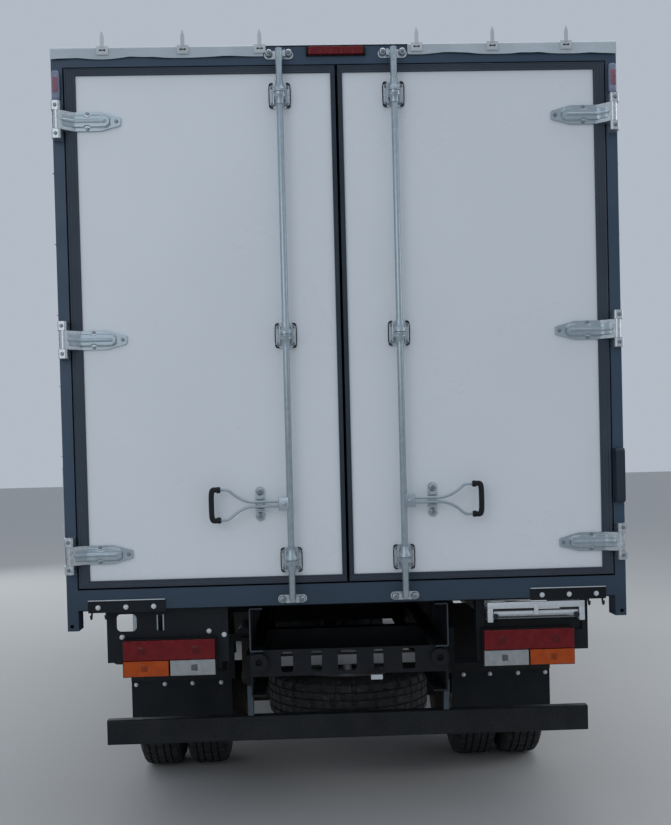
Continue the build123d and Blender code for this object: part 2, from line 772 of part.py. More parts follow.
def rear_portal():
    inner = half_body - pillar_width
    portal = block((-half_body, half_body), (0, portal_depth), (header_bottom, header_top))
    portal += block((-inner, inner), (0, portal_depth), (sill_bottom, leaf_low - 8))
    stop_y = (leaf_thick + stop_gap, portal_depth)
    for side in (-1, 1):
        pillar_x = sorted((side * inner, side * half_body))
        portal += block(pillar_x, (0, portal_depth), (pillar_foot_z, header_top))
        stop_x = sorted((side * (inner - stop_width), side * inner))
        portal += block(stop_x, stop_y, (leaf_low - 8, header_bottom))
        # hook notch in the pillar's foot
        notch = rod_y(9, side * (half_body - 20), (-1, portal_depth + 1), pillar_foot_z + 22)
        portal -= notch
    portal += block((-inner, inner), stop_y, (header_bottom - 30, header_bottom))
    return portal


def oval_plate(x, z, width, height, y):
    radius = min(width, height) * 0.45
    left, right, low, high = x - width / 2, x + width / 2, z - height / 2, z + height / 2
    face = outline([(left, low, radius), (right, low, radius), (right, high, radius), (left, high, radius)])
    return along_y(face, y)


def portal_fittings():
    pieces = []
    for z in hinge_heights:
        fork = None
        for low in (z - strap_height / 2 - bracket_height - 1, z + strap_height / 2 + 1):
            plan = outline([
                (half_body - pillar_width + 2, 0, 0), (half_body - 2, 0, 0),
                (half_body - 6, hinge_y - 15, 10), (hinge_x - 16, hinge_y - 15, 10),
            ])
            cheek = along_z(plan, (low, low + bracket_height))
            fork = cheek if fork is None else fork + cheek
        reach = strap_height / 2 + bracket_height - 4
        fork += rod_z(pin_radius, hinge_x, hinge_y, (z - reach, z + reach))
        pieces.append(fork)
    for z in keeper_heights:
        keeper = oval_plate(bar_x, z, keeper_width, keeper_height, (-plate_thick, 0))
        lug_x = bar_x - cam_half - lug_gap
        keeper += block((lug_x - lug_thick, lug_x), (-lug_reach, 0), (z - 14, z + 14))
        pieces.append(keeper)
    result = []
    for piece in pieces:
        result += both(piece)
    return result


def grab_handle():
    x = (half_body - 48, half_body - 8)
    low, high = sill_bottom + 429, sill_bottom + 675
    loop = outline([(-52, low, 18), (0, low, 0), (0, high, 0), (-52, high, 18)])
    hole = outline([
        (-36, low + 23, 12), (-10, low + 23, 4), (-10, high - 23, 4), (-36, high - 23, 12),
    ])
    return along_x(loop - hole, x)


# Rear doors, drawn for the right-hand side

def rear_door():
    return block((panel_near, panel_far), (0, leaf_thick), (panel_low, panel_high))


def door_seal():
    ring = block((leaf_centre_gap, leaf_outer), (-2, leaf_thick), (leaf_low, leaf_high))
    return ring - block((panel_near, panel_far), (-3, leaf_thick + 1), (panel_low, panel_high))


def hinge_strap(z):
    tip = hinge_x - strap_length
    half = strap_height / 2
    face = outline([
        (tip, z - half * 0.45, 12), (tip + 90, z - half, 20), (panel_far + 30, z - half, 0),
        (panel_far + 30, z + half, 0), (tip + 90, z + half, 20), (tip, z + half * 0.45, 12),
    ])
    strap = along_y(face, (-strap_thick - 2, -2))
    strap += along_y(offset(face, amount=-16), (-2, 0)) - block((panel_far, 2000), (-3, 1), (0, 4000))
    root = outline([
        (panel_far + 8, -2, 0), (leaf_outer - 3, -2, 0), (hinge_x + 5, hinge_y + 13, 0),
        (hinge_x - 9, hinge_y - 14, 0), (panel_far + 8, -2 - strap_thick, 0),
    ])
    strap += along_z(root, (z - half, z + half))
    strap += rod_z(barrel_radius, hinge_x, hinge_y, (z - half, z + half))
    # ribs along the strap
    for rise in (-0.55, 0.0, 0.55):
        rib_z = z + half * rise
        rib_y = (-strap_thick - 6, -strap_thick - 1)
        strap += block((tip + 70, panel_far + 10), rib_y, (rib_z - 5, rib_z + 5))
    return strap - rod_z(pin_radius + pin_clearance, hinge_x, hinge_y, (z - half - 1, z + half + 1))


def bar_guide(z):
    w, h = guide_width / 2, guide_height / 2
    left, right, low, high = bar_x - w, bar_x + w, z - h, z + h
    face = outline([(left, low, 14), (right, low, 14), (right, high, 14), (left, high, 14)])
    guide = along_y(face, (-plate_thick, 0))
    for side in (-1, 1):
        edge = bar_x + side * (w - 5)
        guide += block((edge - 4, edge + 4), (-16, -plate_thick), (low + 14, high - 14))
    clamp = outline([
        (bar_x - 25, 0, 0), (bar_x + 25, 0, 0), (bar_x + 25, bar_y - 22, 20), (bar_x - 25, bar_y - 22, 20),
    ])
    guide += along_z(clamp, (z - 19, z + 19))
    return guide - rod_z(bar_radius + pin_clearance, bar_x, bar_y, (z - 30, z + 30))


def door_hardware():
    pieces = [hinge_strap(z) for z in hinge_heights]
    pieces += [bar_guide(z) for z in guide_heights]
    catch = oval_plate(catch_x, handle_z, 44, 157, (-plate_thick, 0))
    catch += block((catch_x - 14, catch_x + 14), (bar_y + 8, 0), (handle_z - 12, handle_z + 12))
    pieces.append(catch)
    return pieces


def lock_bar():
    bar = rod_z(bar_radius, bar_x, bar_y, (bar_low, bar_high))
    for z in keeper_heights:
        bar += block((bar_x - cam_half, bar_x + cam_half), (bar_y, bar_y + cam_reach), (z - 9, z + 9))
    # handle: hub, two rods that spread into a loop, and a grip across their ends
    rod_y_place = bar_y - 4
    bar += block((bar_x + 4, bar_x + 52), (bar_y - 18, bar_y + 16), (handle_z - 30, handle_z + 30))
    for side in (-1, 1):
        near = (bar_x + 40, rod_y_place, handle_z + side * 11)
        knee = (bar_x + 190, rod_y_place, handle_z + side * 11)
        far = (grip_x - 60, rod_y_place, handle_z + side * (grip_half - 12))
        end = (grip_x, rod_y_place, handle_z + side * (grip_half - 12))
        for start, stop in ((near, knee), (knee, far), (far, end)):
            bar += strut(start, stop, 6)
            bar += Pos(*stop) * Sphere(6)
    grip = outline([
        (grip_x - 24, rod_y_place - 13, 12), (grip_x + 24, rod_y_place - 13, 12),
        (grip_x + 24, rod_y_place + 13, 12), (grip_x - 24, rod_y_place + 13, 12),
    ])
    bar += along_z(grip, (handle_z - grip_half, handle_z + grip_half))
    return bar


# Rear lamps, brackets, ladder

def rear_lamps():
    pieces = []
    x0 = lamp_centre_x - lamp_width / 2
    x1 = lamp_centre_x + lamp_width / 2
    split_z = lamp_low + 76
    # housing behind, lens rows as (x low, x high, z low, z high)
    case = block((x0, x1), (14, 60), (lamp_low, lamp_high))
    rows = (
        (x0 + 3, x1 - 3, split_z + 3, lamp_high - 3),
        (x0 + 3, lamp_centre_x - 4, lamp_low + 3, split_z - 3),
        (lamp_centre_x + 4, x1 - 3, lamp_low + 3, split_z - 3),
    )
    for low_x, high_x, low_z, high_z in rows:
        face = outline([(low_x, low_z, 10), (high_x, low_z, 10), (high_x, high_z, 10), (low_x, high_z, 10)])
        case += along_y(face, (-6, 15))
    low, high = header_bottom - 153, header_bottom - 15
    near, far = half_body - 41, half_body - 3
    marker = outline([(near, low, 8), (far, low, 8), (far, high, 8), (near, high, 8)])
    for piece in (case, along_y(marker, (-28, 0))):
        pieces += both(piece)
    low, high = header_bottom + 39, header_bottom + 73
    brake = outline([(-124, low, 6), (124, low, 6), (124, high, 6), (-124, high, 6)])
    pieces.append(along_y(brake, (-22, 0)))
    return pieces


def lamp_brackets():
    # plates that hang from the sill and hold the lamps
    face = outline([(556, 880, 8), (1092, 880, 30), (1092, sill_bottom, 0), (556, sill_bottom, 0)])
    window = outline([(975, 1030, 20), (1065, 1030, 20), (1065, 1110, 20), (975, 1110, 20)])
    small = outline([(845, 1030, 8), (885, 1030, 8), (885, 1105, 8), (845, 1105, 8)])
    plate = along_y(face - window - small, (60, 68))
    post = block((590, 630), (60, 118), (lamp_low + 20, sill_bottom))
    post += block((1084, 1110), (60, 118), (lamp_low + 60, sill_bottom))
    post += block((590, 1110), (60, 72), (lamp_low + 60, lamp_high - 20))
    left = mirrored(plate + post + block((556, 1110), (60, 118), (1130, sill_bottom)))
    right = post + block((590, 1110), (60, 118), (1126, sill_bottom))
    # bolted sill plate near each corner
    sill_plate = block(sill_plate_x, (-plate_thick, 0), (sill_bottom - 12, sill_bottom + 44))
    return [left, right] + both(sill_plate)


def boarding_ladder():
    # pulls out to the rear and folds down; stowed under two guide channels
    pieces = []
    for x in ladder_rail_x:
        rail_x = (x - ladder_rail_half, x + ladder_rail_half)
        guide_x = (x - ladder_guide_half, x + ladder_guide_half)
        pieces.append(block(rail_x, (ladder_rear_y, 900), (ladder_low, ladder_high)))
        pieces.append(block(guide_x, (140, 960), (ladder_high, subframe_top)))
    # the rungs are welded between the rails
    rung_x = (ladder_rail_x[0] + ladder_rail_half, ladder_rail_x[1] - ladder_rail_half)
    for y in rung_places_y:
        pieces.append(rod_x(rung_radius, rung_x, y, ladder_high - 25))
    return pieces


# Cab

def cab_side(inset):
    face = outline([
        (cab_front_y - 12, cab_low, 30), (cab_front_y, belt_z - 200, 400), (cab_front_y - 22, belt_z, 120),
        (cab_front_y - screen_top_back, screen_top_z, 200),
        (cab_front_y - screen_top_back - 330, cab_roof, 300), (cab_rear_y + 30, cab_roof - 20, 110),
        (cab_rear_y, cab_low, 0),
    ])
    if inset:
        face = offset(face, amount=-inset, kind=Kind.INTERSECTION)
    face -= Pos(front_axle_y, axle_z) * Circle(arch_radius + inset)
    low = outline([
        (cab_rear_y - 50, cab_low - 50, 0), (front_axle_y, cab_low - 50, 0),
        (front_axle_y, cab_floor_z + inset, 0), (cab_rear_y - 50, cab_floor_z + inset, 0),
    ])
    return face - low


def cab_front(inset):
    half, top, low = cab_half - inset, cab_roof - inset, cab_low - 100
    lean = cab_roof_half - inset
    return outline([
        (-half, low, 0), (half, low, 0), (half, 1520, 0), (lean, 2440 - inset, 130), (lean - 260, top, 300),
        (-lean + 260, top, 300), (-lean, 2440 - inset, 130), (-half, 1520, 0),
    ])


def cab_plan(inset):
    half, front, rear = cab_half - inset, cab_front_y - inset, cab_rear_y + inset
    return outline([
        (-half, rear, 40), (half, rear, 40), (half, front, 240 - inset), (-half, front, 240 - inset),
    ])


def cab_volume(inset):
    side = along_x(cab_side(inset), (-cab_half - 60, cab_half + 60))
    front = along_y(cab_front(inset), (cab_rear_y - 10, cab_front_y + 10))
    plan = along_z(cab_plan(inset), (cab_low - 50, cab_roof + 50))
    return side & front & plan


def screen_face(inset):
    low, high = belt_z + 70 + inset, screen_top_z - 60 - inset
    wide, narrow = 985 - inset, 945 - inset
    return outline([(-wide, low, 60), (wide, low, 60), (narrow, high, 90), (-narrow, high, 90)])


def rear_window_face(inset):
    return outline([
        (-480 + inset, 1620 + inset, 50), (480 - inset, 1620 + inset, 50),
        (480 - inset, 2150 - inset, 50), (-480 + inset, 2150 - inset, 50),
    ])


def grille_face(inset):
    return outline([
        (-720 + inset, 900 + inset, 30), (720 - inset, 900 + inset, 30),
        (760 - inset, 1220 - inset, 30), (-760 + inset, 1220 - inset, 30),
    ])


def cab_door_face(inset):
    return outline([
        (cab_door_rear + inset, cab_door_low + inset, 60),
        (cab_door_front - inset, cab_door_low + inset, 60),
        (cab_door_front - inset, cab_door_high - inset, 110),
        (cab_door_rear + inset, cab_door_high - inset, 110),
    ])


def door_window_face(inset):
    return outline([
        (cab_door_rear + 95 + inset, 1540 + inset, 50), (cab_door_front - 95 - inset, 1480 + inset, 50),
        (cab_door_front - 95 - inset, cab_door_high - 95 - inset, 70),
        (cab_door_rear + 95 + inset, cab_door_high - 95 - inset, 70),
    ])


def tunnel_profile(grow):
    return outline([
        (-tunnel_half - grow, cab_low - 60, 0), (tunnel_half + grow, cab_low - 60, 0),
        (tunnel_half + grow, 1000, 0), (400 + grow, tunnel_top + grow, 60),
        (-400 - grow, tunnel_top + grow, 60), (-tunnel_half - grow, 1000, 0),
    ])


def cab_parts():
    outer = cab_volume(0)
    walls = outer - cab_volume(cab_wall)
    pane_skin = cab_volume(pane_depth) - cab_volume(pane_depth + pane_thick)
    shell = walls - along_y(screen_face(0), front_y_span)
    shell -= along_y(rear_window_face(0), rear_y_span)
    shell -= along_y(grille_face(0), (cab_front_y - 90, cab_front_y + 50))
    tunnel_y = (cab_rear_y - 10, cab_front_y - cab_wall - 12)
    shell -= block((-tunnel_half, tunnel_half), tunnel_y, (cab_low - 20, cab_floor_z + cab_wall + 20))
    hatch = outline([
        (-tunnel_half, 900, 0), (tunnel_half, 900, 0), (tunnel_half, 1110, 40), (-tunnel_half, 1110, 40),
    ])
    shell -= along_y(hatch, (cab_rear_y - 10, cab_rear_y + 90))
    opening = along_x(cab_door_face(0), door_x_span)
    door = walls & along_x(cab_door_face(cab_door_gap), door_x_span)
    # hinges: one knuckle on the door between two on the shell, on a pin of the shell
    hinge_at = (cab_half, cab_door_front - cab_door_gap / 2)
    arm_x = (cab_half - 9, cab_half + 5)
    fixed = []
    for z in cab_hinge_heights:
        door -= rod_z(cab_knuckle + 5, *hinge_at, (z - 56, z + 56))
        door += rod_z(cab_knuckle, *hinge_at, (z - 20, z + 20))
        door -= rod_z(cab_pin + pin_clearance, *hinge_at, (z - 56, z + 56))
        opening += rod_z(cab_knuckle + 5, *hinge_at, (z - 56, z + 56))
        fixed.append(rod_z(cab_pin, *hinge_at, (z - 40, z + 40)))
        # arms tie the fixed knuckles to the shell and the middle one to the door
        for low, high in ((z - 50, z - 20.5), (z + 20.5, z + 50)):
            fixed.append(rod_z(cab_knuckle, *hinge_at, (low, high)))
            fixed.append(block(arm_x, (cab_door_front - 4, cab_door_front + 24), (low, high)))
        door += block(arm_x, (cab_door_front - 36, cab_door_front - 6), (z - 20, z + 20))
        door -= rod_z(cab_pin + pin_clearance, *hinge_at, (z - 56, z + 56))
    shell -= opening
    shell -= mirrored(opening)
    for piece in fixed:
        shell += piece
        shell += mirrored(piece)
    window = along_x(door_window_face(0), door_x_span)
    door -= window
    door += block((cab_half - 8, cab_half + 16), (cab_door_rear + 60, cab_door_rear + 230), (1440, 1475))
    door_pane = pane_skin & along_x(door_window_face(seat_fit), door_x_span)
    screen = pane_skin & along_y(screen_face(seat_fit), front_y_span)
    rear_pane = pane_skin & along_y(rear_window_face(seat_fit), rear_y_span)
    save("cab_shell", shell)
    save_pair("cab_door", door)
    save_pair("door_glass", door_pane)
    save("cab_glass", screen, rear_pane)


def engine_cover():
    span = (cab_rear_y - 40, cab_front_y - 140)
    cover = along_y(tunnel_profile(tunnel_skin), span)
    cover -= along_y(tunnel_profile(0), (span[0] - 1, span[1] - tunnel_skin))
    cover -= block((-600, 600), (span[1] - 200, span[1] + 1), (cab_low - 100, 962))
    cover -= block((-2000, 2000), (cab_rear_y - 100, cab_rear_y + 62), (cab_low - 100, 2000))
    cover &= cab_volume(cab_wall + seat_fit)
    # lugs that turn on the cab pivots
    for side in (-1, 1):
        x = sorted((side * 466.0, side * 520.0))
        lug = block(x, (pivot_y - 45, pivot_y + 45), (pivot_z - 40, pivot_z + 80))
        cover += lug
        cover -= rod_x(18 + running_clearance, sorted((side * 460.0, side * 508.0)), pivot_y, pivot_z)
    return cover


def cab_grille():
    span = (cab_front_y - 70, cab_front_y - 12)
    frame = along_y(grille_face(seat_fit) - grille_face(28), span)
    inside = along_y(grille_face(20), span)
    slat_count = 5
    pitch = 300.0 / (slat_count + 1)
    for index in range(slat_count):
        z = 908 + (index + 1) * pitch
        slat = outline([
            (span[0] + 6, z - 4, 0), (span[1] - 4, z - 16, 4), (span[1] - 4, z + 4, 4),
            (span[0] + 6, z + 8, 0),
        ])
        frame += along_x(slat, (-760, 760)) & inside
    return frame


def mirrors():
    piece = None
    arm_x, arm_y = cab_half + 190.0, cab_front_y - 200.0
    for z in (1760.0, 2180.0):
        arm = strut((cab_half - 60, arm_y - 90, z), (arm_x, arm_y, z), 14)
        piece = arm if piece is None else piece + arm
    piece += strut((arm_x, arm_y, 1600), (arm_x, arm_y, 2260), 14)
    head = outline([
        (arm_x - 80, arm_y - 25, 18), (arm_x + 95, arm_y - 25, 18),
        (arm_x + 85, arm_y + 50, 30), (arm_x - 68, arm_y + 50, 30),
    ])
    piece += along_z(head, (1860, 2230)) + along_z(head, (1620, 1830))
    piece -= cab_volume(0)
    return both(piece)


def seats():
    pieces = []
    seat_y = cab_rear_y + 180.0
    # seats as (centre x, width)
    for x, width in ((-720.0, 480.0), (720.0, 480.0)):
        half = width / 2
        base_z = (cab_floor_z + cab_wall + seat_fit, 1240)
        base = block((x - half + 60, x + half - 60), (seat_y + 20, seat_y + 420), base_z)
        cushion = fillet(block((x - half, x + half), (seat_y, seat_y + 480), (1235, 1370)).edges(), 30)
        back = outline([
            (seat_y - 40, 1330, 30), (seat_y + 90, 1330, 30), (seat_y + 10, 2000, 40),
            (seat_y - 100, 2000, 40),
        ])
        rest = outline([
            (seat_y - 75, 2010, 20), (seat_y + 10, 2010, 20), (seat_y - 5, 2190, 30), (seat_y - 85, 2190, 30),
        ])
        seat = base + cushion + along_x(back, (x - half + 15, x + half - 15))
        seat += along_x(rest, (x - 120, x + 120))
        seat += block((x - 60, x + 60), (seat_y - 55, seat_y - 25), (1980, 2030))
        pieces.append(seat)
    return pieces


def dashboard():
    edge, back, front = cab_front_y - 430.0, cab_front_y - 130.0, cab_front_y - 74.0
    face = outline([
        (edge, 1180, 40), (edge + 20, 1400, 60), (edge + 190, 1440, 60), (front, 1330, 20),
        (front, 1000, 0), (back, 1000, 0), (back, 1150, 0),
    ])
    board = along_x(face, (-1050, 1050)) & cab_volume(cab_wall + 2)
    board -= along_y(tunnel_profile(tunnel_skin + seat_fit), (edge - 110, cab_front_y - 140 + seat_fit))
    # steering column and wheel on the left, with three spokes
    hub = (-720, edge - 180, 1500)
    board += strut((-720, edge + 70, 1290), hub, 38)
    wheel = Plane(origin=hub, z_dir=(0, -0.77, 0.64))
    board += wheel * Torus(215, 15)
    for angle in (90, 210, 330):
        a = math.radians(angle)
        end = wheel.from_local_coords((212 * math.cos(a), 212 * math.sin(a), 0))
        board += strut(hub, tuple(end), 11)
    board += extrude(wheel * Circle(48), amount=18)
    return board


os.makedirs("parts", exist_ok=True)

save("chassis_frame", chassis_frame())
save("body_subframe", body_subframe())
save("front_axle", front_axle())
save("rear_axle", rear_axle())
save("engine_block", engine_block())
save("fuel_tank", fuel_tank())
save("battery_box", battery_box())
save("silencer", silencer())
save("side_guards", *side_guards())
save("underrun_bar", underrun_bar())
save("mudguards", *mudguards())
save("mudflaps", *mudflaps())
save("front_bumper", front_bumper())
save("headlamps", *headlamps())
save("tow_sockets", *tow_sockets())
save("spare_tyre", spare_tyre())
save("spare_wheel", spare_wheel())
save("floor_deck", floor_deck())
save("front_wall", front_wall())
save("side_boards", *side_boards())
save("tilt_frame", tilt_frame())
save("tilt_sides", *tilt_sides())
save("tilt_roof", tilt_roof())
save("rear_portal", rear_portal())
save("portal_fittings", *portal_fittings())
save("grab_handle", grab_handle())
save("rear_lamps", *rear_lamps())
save("lamp_brackets", *lamp_brackets())
save("boarding_ladder", *boarding_ladder())
save_pair("rear_door", rear_door())
save_pair("door_seal", door_seal())
save_pair("door_hardware", *door_hardware())
save_pair("lock_bar", lock_bar())
save_pair("knuckle", knuckle())
save("tie_rod", tie_rod())
save_pair("front_rim", front_wheel())
save_pair("front_tyre", tyre(front_wheel_x, front_axle_y))
save_pair("rear_rims", rear_wheels())
twins = [tyre(twin_mid_x + place, rear_axle_y) for place in (wheel_offset, -wheel_offset)]
save_pair("rear_tyres", *twins)
cab_parts()
save("engine_cover", engine_cover())
save("cab_grille", cab_grille())
save("mirrors", *mirrors())
save("seats", *seats())
save("dashboard", dashboard())
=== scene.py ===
import json
import math

import bmesh
import bpy
from mathutils import Matrix, Vector


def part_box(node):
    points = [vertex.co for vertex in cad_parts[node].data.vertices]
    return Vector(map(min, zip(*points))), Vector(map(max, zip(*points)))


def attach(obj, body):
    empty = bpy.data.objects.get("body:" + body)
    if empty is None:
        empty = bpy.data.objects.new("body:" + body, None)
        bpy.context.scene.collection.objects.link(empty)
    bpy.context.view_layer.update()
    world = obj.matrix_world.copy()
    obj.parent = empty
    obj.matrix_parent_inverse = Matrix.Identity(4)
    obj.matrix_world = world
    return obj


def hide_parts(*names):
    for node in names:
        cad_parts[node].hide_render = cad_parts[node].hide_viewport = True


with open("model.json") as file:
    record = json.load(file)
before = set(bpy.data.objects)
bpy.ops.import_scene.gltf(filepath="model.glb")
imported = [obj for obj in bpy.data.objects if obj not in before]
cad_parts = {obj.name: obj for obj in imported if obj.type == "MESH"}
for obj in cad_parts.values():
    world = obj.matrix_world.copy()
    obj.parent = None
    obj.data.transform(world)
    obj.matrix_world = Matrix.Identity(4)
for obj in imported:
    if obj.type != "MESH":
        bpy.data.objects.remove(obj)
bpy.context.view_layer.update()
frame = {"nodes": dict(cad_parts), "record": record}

nodes = frame["nodes"]
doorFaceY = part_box("rear_door_left")[0].y
sidesOfTruck = (("Left", -1), ("Right", 1))
print("frame loaded", len(nodes), "nodes")


def selectOnly(*pieces):
    if bpy.context.object and bpy.context.object.mode != "OBJECT":
        bpy.ops.object.mode_set(mode="OBJECT")
    bpy.ops.object.select_all(action="DESELECT")
    for piece in pieces:
        piece.select_set(True)
    bpy.context.view_layer.objects.active = pieces[0] if pieces else None


def smoothed(piece, angle):
    selectOnly(piece)
    bpy.ops.object.shade_smooth_by_angle(angle=math.radians(angle))
    return piece


def settle(piece, smoothAngle=None):
    # modifiers and placement go into the mesh, so that the object stands at the origin
    selectOnly(piece)
    for modifier in list(piece.modifiers):
        bpy.ops.object.modifier_apply(modifier=modifier.name)
    bpy.ops.object.transform_apply(location=True, rotation=True, scale=True)
    return smoothed(piece, smoothAngle) if smoothAngle else piece


def joined(pieces, name):
    selectOnly(*pieces)
    if len(pieces) > 1:
        bpy.ops.object.join()
    piece = bpy.context.object
    piece.name = name
    piece.data.name = name
    return piece


def paint(piece, material):
    piece.data.materials.clear()
    piece.data.materials.append(material)


def mount(pieces, name, finish, body="root", stands=()):
    # joins what belongs together and gives it its name, look and body
    piece = joined(pieces if isinstance(pieces, list) else [pieces], name)
    paint(piece, finishes[finish])
    if stands:
        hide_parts(*stands)
    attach(piece, body)
    return piece


# Camera, floor and light

viewpoint = {
    "place": (-0.2137, doorFaceY - 5.0232, 1.8044),
    "turn": -0.033, "tip": 0.0222, "roll": -0.025,   # radians: to the right, down, about the line of sight
    "focalPixels": 1106.2, "raisePixels": 69.5, "frameHeight": 825, "sensor": 36, "reach": 200,
}


def makeCamera(settings):
    data = bpy.data.cameras.new("camera")
    camera = bpy.data.objects.new("camera", data)
    bpy.context.scene.collection.objects.link(camera)
    turn, tip, roll = settings["turn"], settings["tip"], settings["roll"]
    ahead = Vector((-math.sin(turn) * math.cos(tip), math.cos(turn) * math.cos(tip), -math.sin(tip)))
    right = Vector((math.cos(turn), math.sin(turn), 0))
    up = right.cross(ahead)
    rolledRight = right * math.cos(roll) + up * math.sin(roll)
    rolledUp = up * math.cos(roll) - right * math.sin(roll)
    axes = Matrix((rolledRight, rolledUp, -ahead)).transposed()
    camera.matrix_world = Matrix.Translation(settings["place"]) @ axes.to_4x4()
    data.sensor_width = settings["sensor"]
    data.lens = settings["focalPixels"] / settings["frameHeight"] * data.sensor_width
    data.shift_y = settings["raisePixels"] / settings["frameHeight"]
    data.clip_end = settings["reach"]
    bpy.context.scene.camera = camera


studio = {
    "floorSize": 160, "floorColour": (0.50, 0.50, 0.49), "floorRoughness": 0.9,
    "skyColour": (0.80, 0.88, 1.0), "skyStrength": 0.56, "aim": (0, 0, 1.6),
    # softboxes: place, size, energy in watts, colour
    "lights": {
        "topLight": ((0.5, -1.0, 9.0), 9.0, 330, (1.0, 0.99, 0.97)),
        "rearLight": ((-4.5, -11.5, 4.6), 6.0, 90, (0.93, 0.97, 1.0)),
        "sideLight": ((8.5, -3.0, 4.5), 5.0, 100, (1.0, 0.98, 0.95)),
        "frontLight": ((-6.0, 9.0, 5.0), 6.0, 190, (0.96, 0.98, 1.0)),
    },
}


def makeStudio(settings):
    bpy.ops.mesh.primitive_plane_add(size=settings["floorSize"], location=(0, 0, 0))
    floor = bpy.context.object
    floor.name = "floor"
    material = bpy.data.materials.new("paleFloor")
    material.use_nodes = True
    shader = material.node_tree.nodes["Principled BSDF"]
    shader.inputs["Base Color"].default_value = (*settings["floorColour"], 1)
    shader.inputs["Roughness"].default_value = settings["floorRoughness"]
    paint(floor, material)
    world = bpy.context.scene.world or bpy.data.worlds.new("sky")
    bpy.context.scene.world = world
    world.use_nodes = True
    background = world.node_tree.nodes["Background"]
    background.inputs["Color"].default_value = (*settings["skyColour"], 1)
    background.inputs["Strength"].default_value = settings["skyStrength"]
    for name, (place, size, energy, colour) in settings["lights"].items():
        data = bpy.data.lights.new(name, "AREA")
        data.shape, data.size, data.energy, data.color = "DISK", size, energy, colour
        lamp = bpy.data.objects.new(name, data)
        bpy.context.scene.collection.objects.link(lamp)
        lamp.location = place
        lamp.rotation_euler = (Vector(settings["aim"]) - Vector(place)).to_track_quat("-Z", "Y").to_euler()
    bpy.context.scene.view_settings.view_transform = "Standard"


makeCamera(viewpoint)
makeStudio(studio)
print("camera, floor and lights")


# Finishes, built on object coordinates. Each maker gives the colour and the roughness.

def texture(tree, source, kind, scale):
    node = tree.nodes.new("ShaderNodeTex" + kind)
    node.inputs["Scale"].default_value = scale
    tree.links.new(source, node.inputs["Vector"])
    return node


def cloud(tree, source, size, detail=4.0, stretch=(1, 1, 1)):
    # soft noise whose patches are about size metres across
    mapping = tree.nodes.new("ShaderNodeMapping")
    mapping.inputs["Scale"].default_value = stretch
    tree.links.new(source, mapping.inputs["Vector"])
    noise = texture(tree, mapping.outputs["Vector"], "Noise", 1.0 / size)
    noise.inputs["Detail"].default_value = detail
    return noise.outputs["Fac"]


def ramp(tree, source, low, high, start=0.0, end=1.0):
    # straight line from start at low to end at high, held outside them
    line = tree.nodes.new("ShaderNodeMapRange")
    for socket, value in (("From Min", low), ("From Max", high), ("To Min", start), ("To Max", end)):
        line.inputs[socket].default_value = value
    tree.links.new(source, line.inputs["Value"])
    return line.outputs["Result"]


def math2(tree, operation, first, second):
    node = tree.nodes.new("ShaderNodeMath")
    node.operation = operation
    for index, value in enumerate((first, second)):
        if isinstance(value, (int, float)):
            node.inputs[index].default_value = value
        else:
            tree.links.new(value, node.inputs[index])
    return node.outputs[0]


def blendColour(tree, share, first, second):
    node = tree.nodes.new("ShaderNodeMix")
    node.data_type = "RGBA"
    tree.links.new(share, node.inputs["Factor"])
    for socket, value in (("A", first), ("B", second)):
        target = [s for s in node.inputs if s.name == socket and s.type == "RGBA"][0]
        if isinstance(value, tuple):
            target.default_value = (*value, 1)
        else:
            tree.links.new(value, target)
    return [s for s in node.outputs if s.type == "RGBA"][0]


def bumped(tree, shader, height, depth):
    bump = tree.nodes.new("ShaderNodeBump")
    bump.inputs["Distance"].default_value = depth
    tree.links.new(height, bump.inputs["Height"])
    tree.links.new(bump.outputs["Normal"], shader.inputs["Normal"])


def dustAndPaintedShade(tree, place, colour, settings):
    # dust that thickens towards the road, in patches, and, where a finish asks for it, painted shade that
    # deepens evenly towards the foot: its share, and the colour with it
    upright = tree.nodes.new("ShaderNodeSeparateXYZ")
    tree.links.new(place, upright.inputs[0])
    share = ramp(tree, upright.outputs["Z"], settings["dustTop"], settings["dustFoot"])
    # painted shade is kept even; dust comes in patches and specks
    if not settings.get("dustEven"):
        patches, specks = cloud(tree, place, 0.11, 6.0, (1, 1, 0.6)), cloud(tree, place, 0.012, 3.0)
        patch = math2(tree, "MULTIPLY", patches, specks)
        share = math2(tree, "MULTIPLY", share, ramp(tree, patch, 0.12, 0.36))
    share = math2(tree, "MULTIPLY", share, settings["dust"])
    return share, blendColour(tree, share, colour, settings["dustColour"])


def dulled(tree, gloss, share, amount):
    return math2(tree, "ADD", gloss, math2(tree, "MULTIPLY", share, amount))


def painted(tree, shader, place, settings):
    # sprayed or moulded surface: two close colours in patches, fine grain, and road dust towards the road (on
    # the door frame, painted shade instead)
    patch = ramp(tree, cloud(tree, place, settings["patch"], 5.0), 0.35, 0.65)
    colour = blendColour(tree, patch, settings["colour"], settings["second"])
    share, colour = dustAndPaintedShade(tree, place, colour, settings)
    gloss = ramp(tree, cloud(tree, place, settings["patch"] * 0.4, 6.0), 0.3, 0.7, *settings["roughness"])
    bumped(tree, shader, cloud(tree, place, settings["grain"], 2.0), settings["grainDepth"])
    return colour, dulled(tree, gloss, share, 0.5)


def zincPlated(tree, shader, place, settings):
    # galvanised steel: bright and dull crystals with faint vertical wipe marks
    crystal = texture(tree, place, "Voronoi", 1.0 / settings["crystal"])
    shade = ramp(tree, crystal.outputs["Color"], 0.0, 1.0)
    colour = blendColour(tree, shade, settings["colour"], settings["second"])
    share, colour = dustAndPaintedShade(tree, place, colour, settings)
    bumped(tree, shader, cloud(tree, place, settings["grain"], 3.0, (1, 1, 0.3)), settings["grainDepth"])
    return colour, dulled(tree, ramp(tree, shade, 0, 1, *settings["roughness"]), share, 0.4)


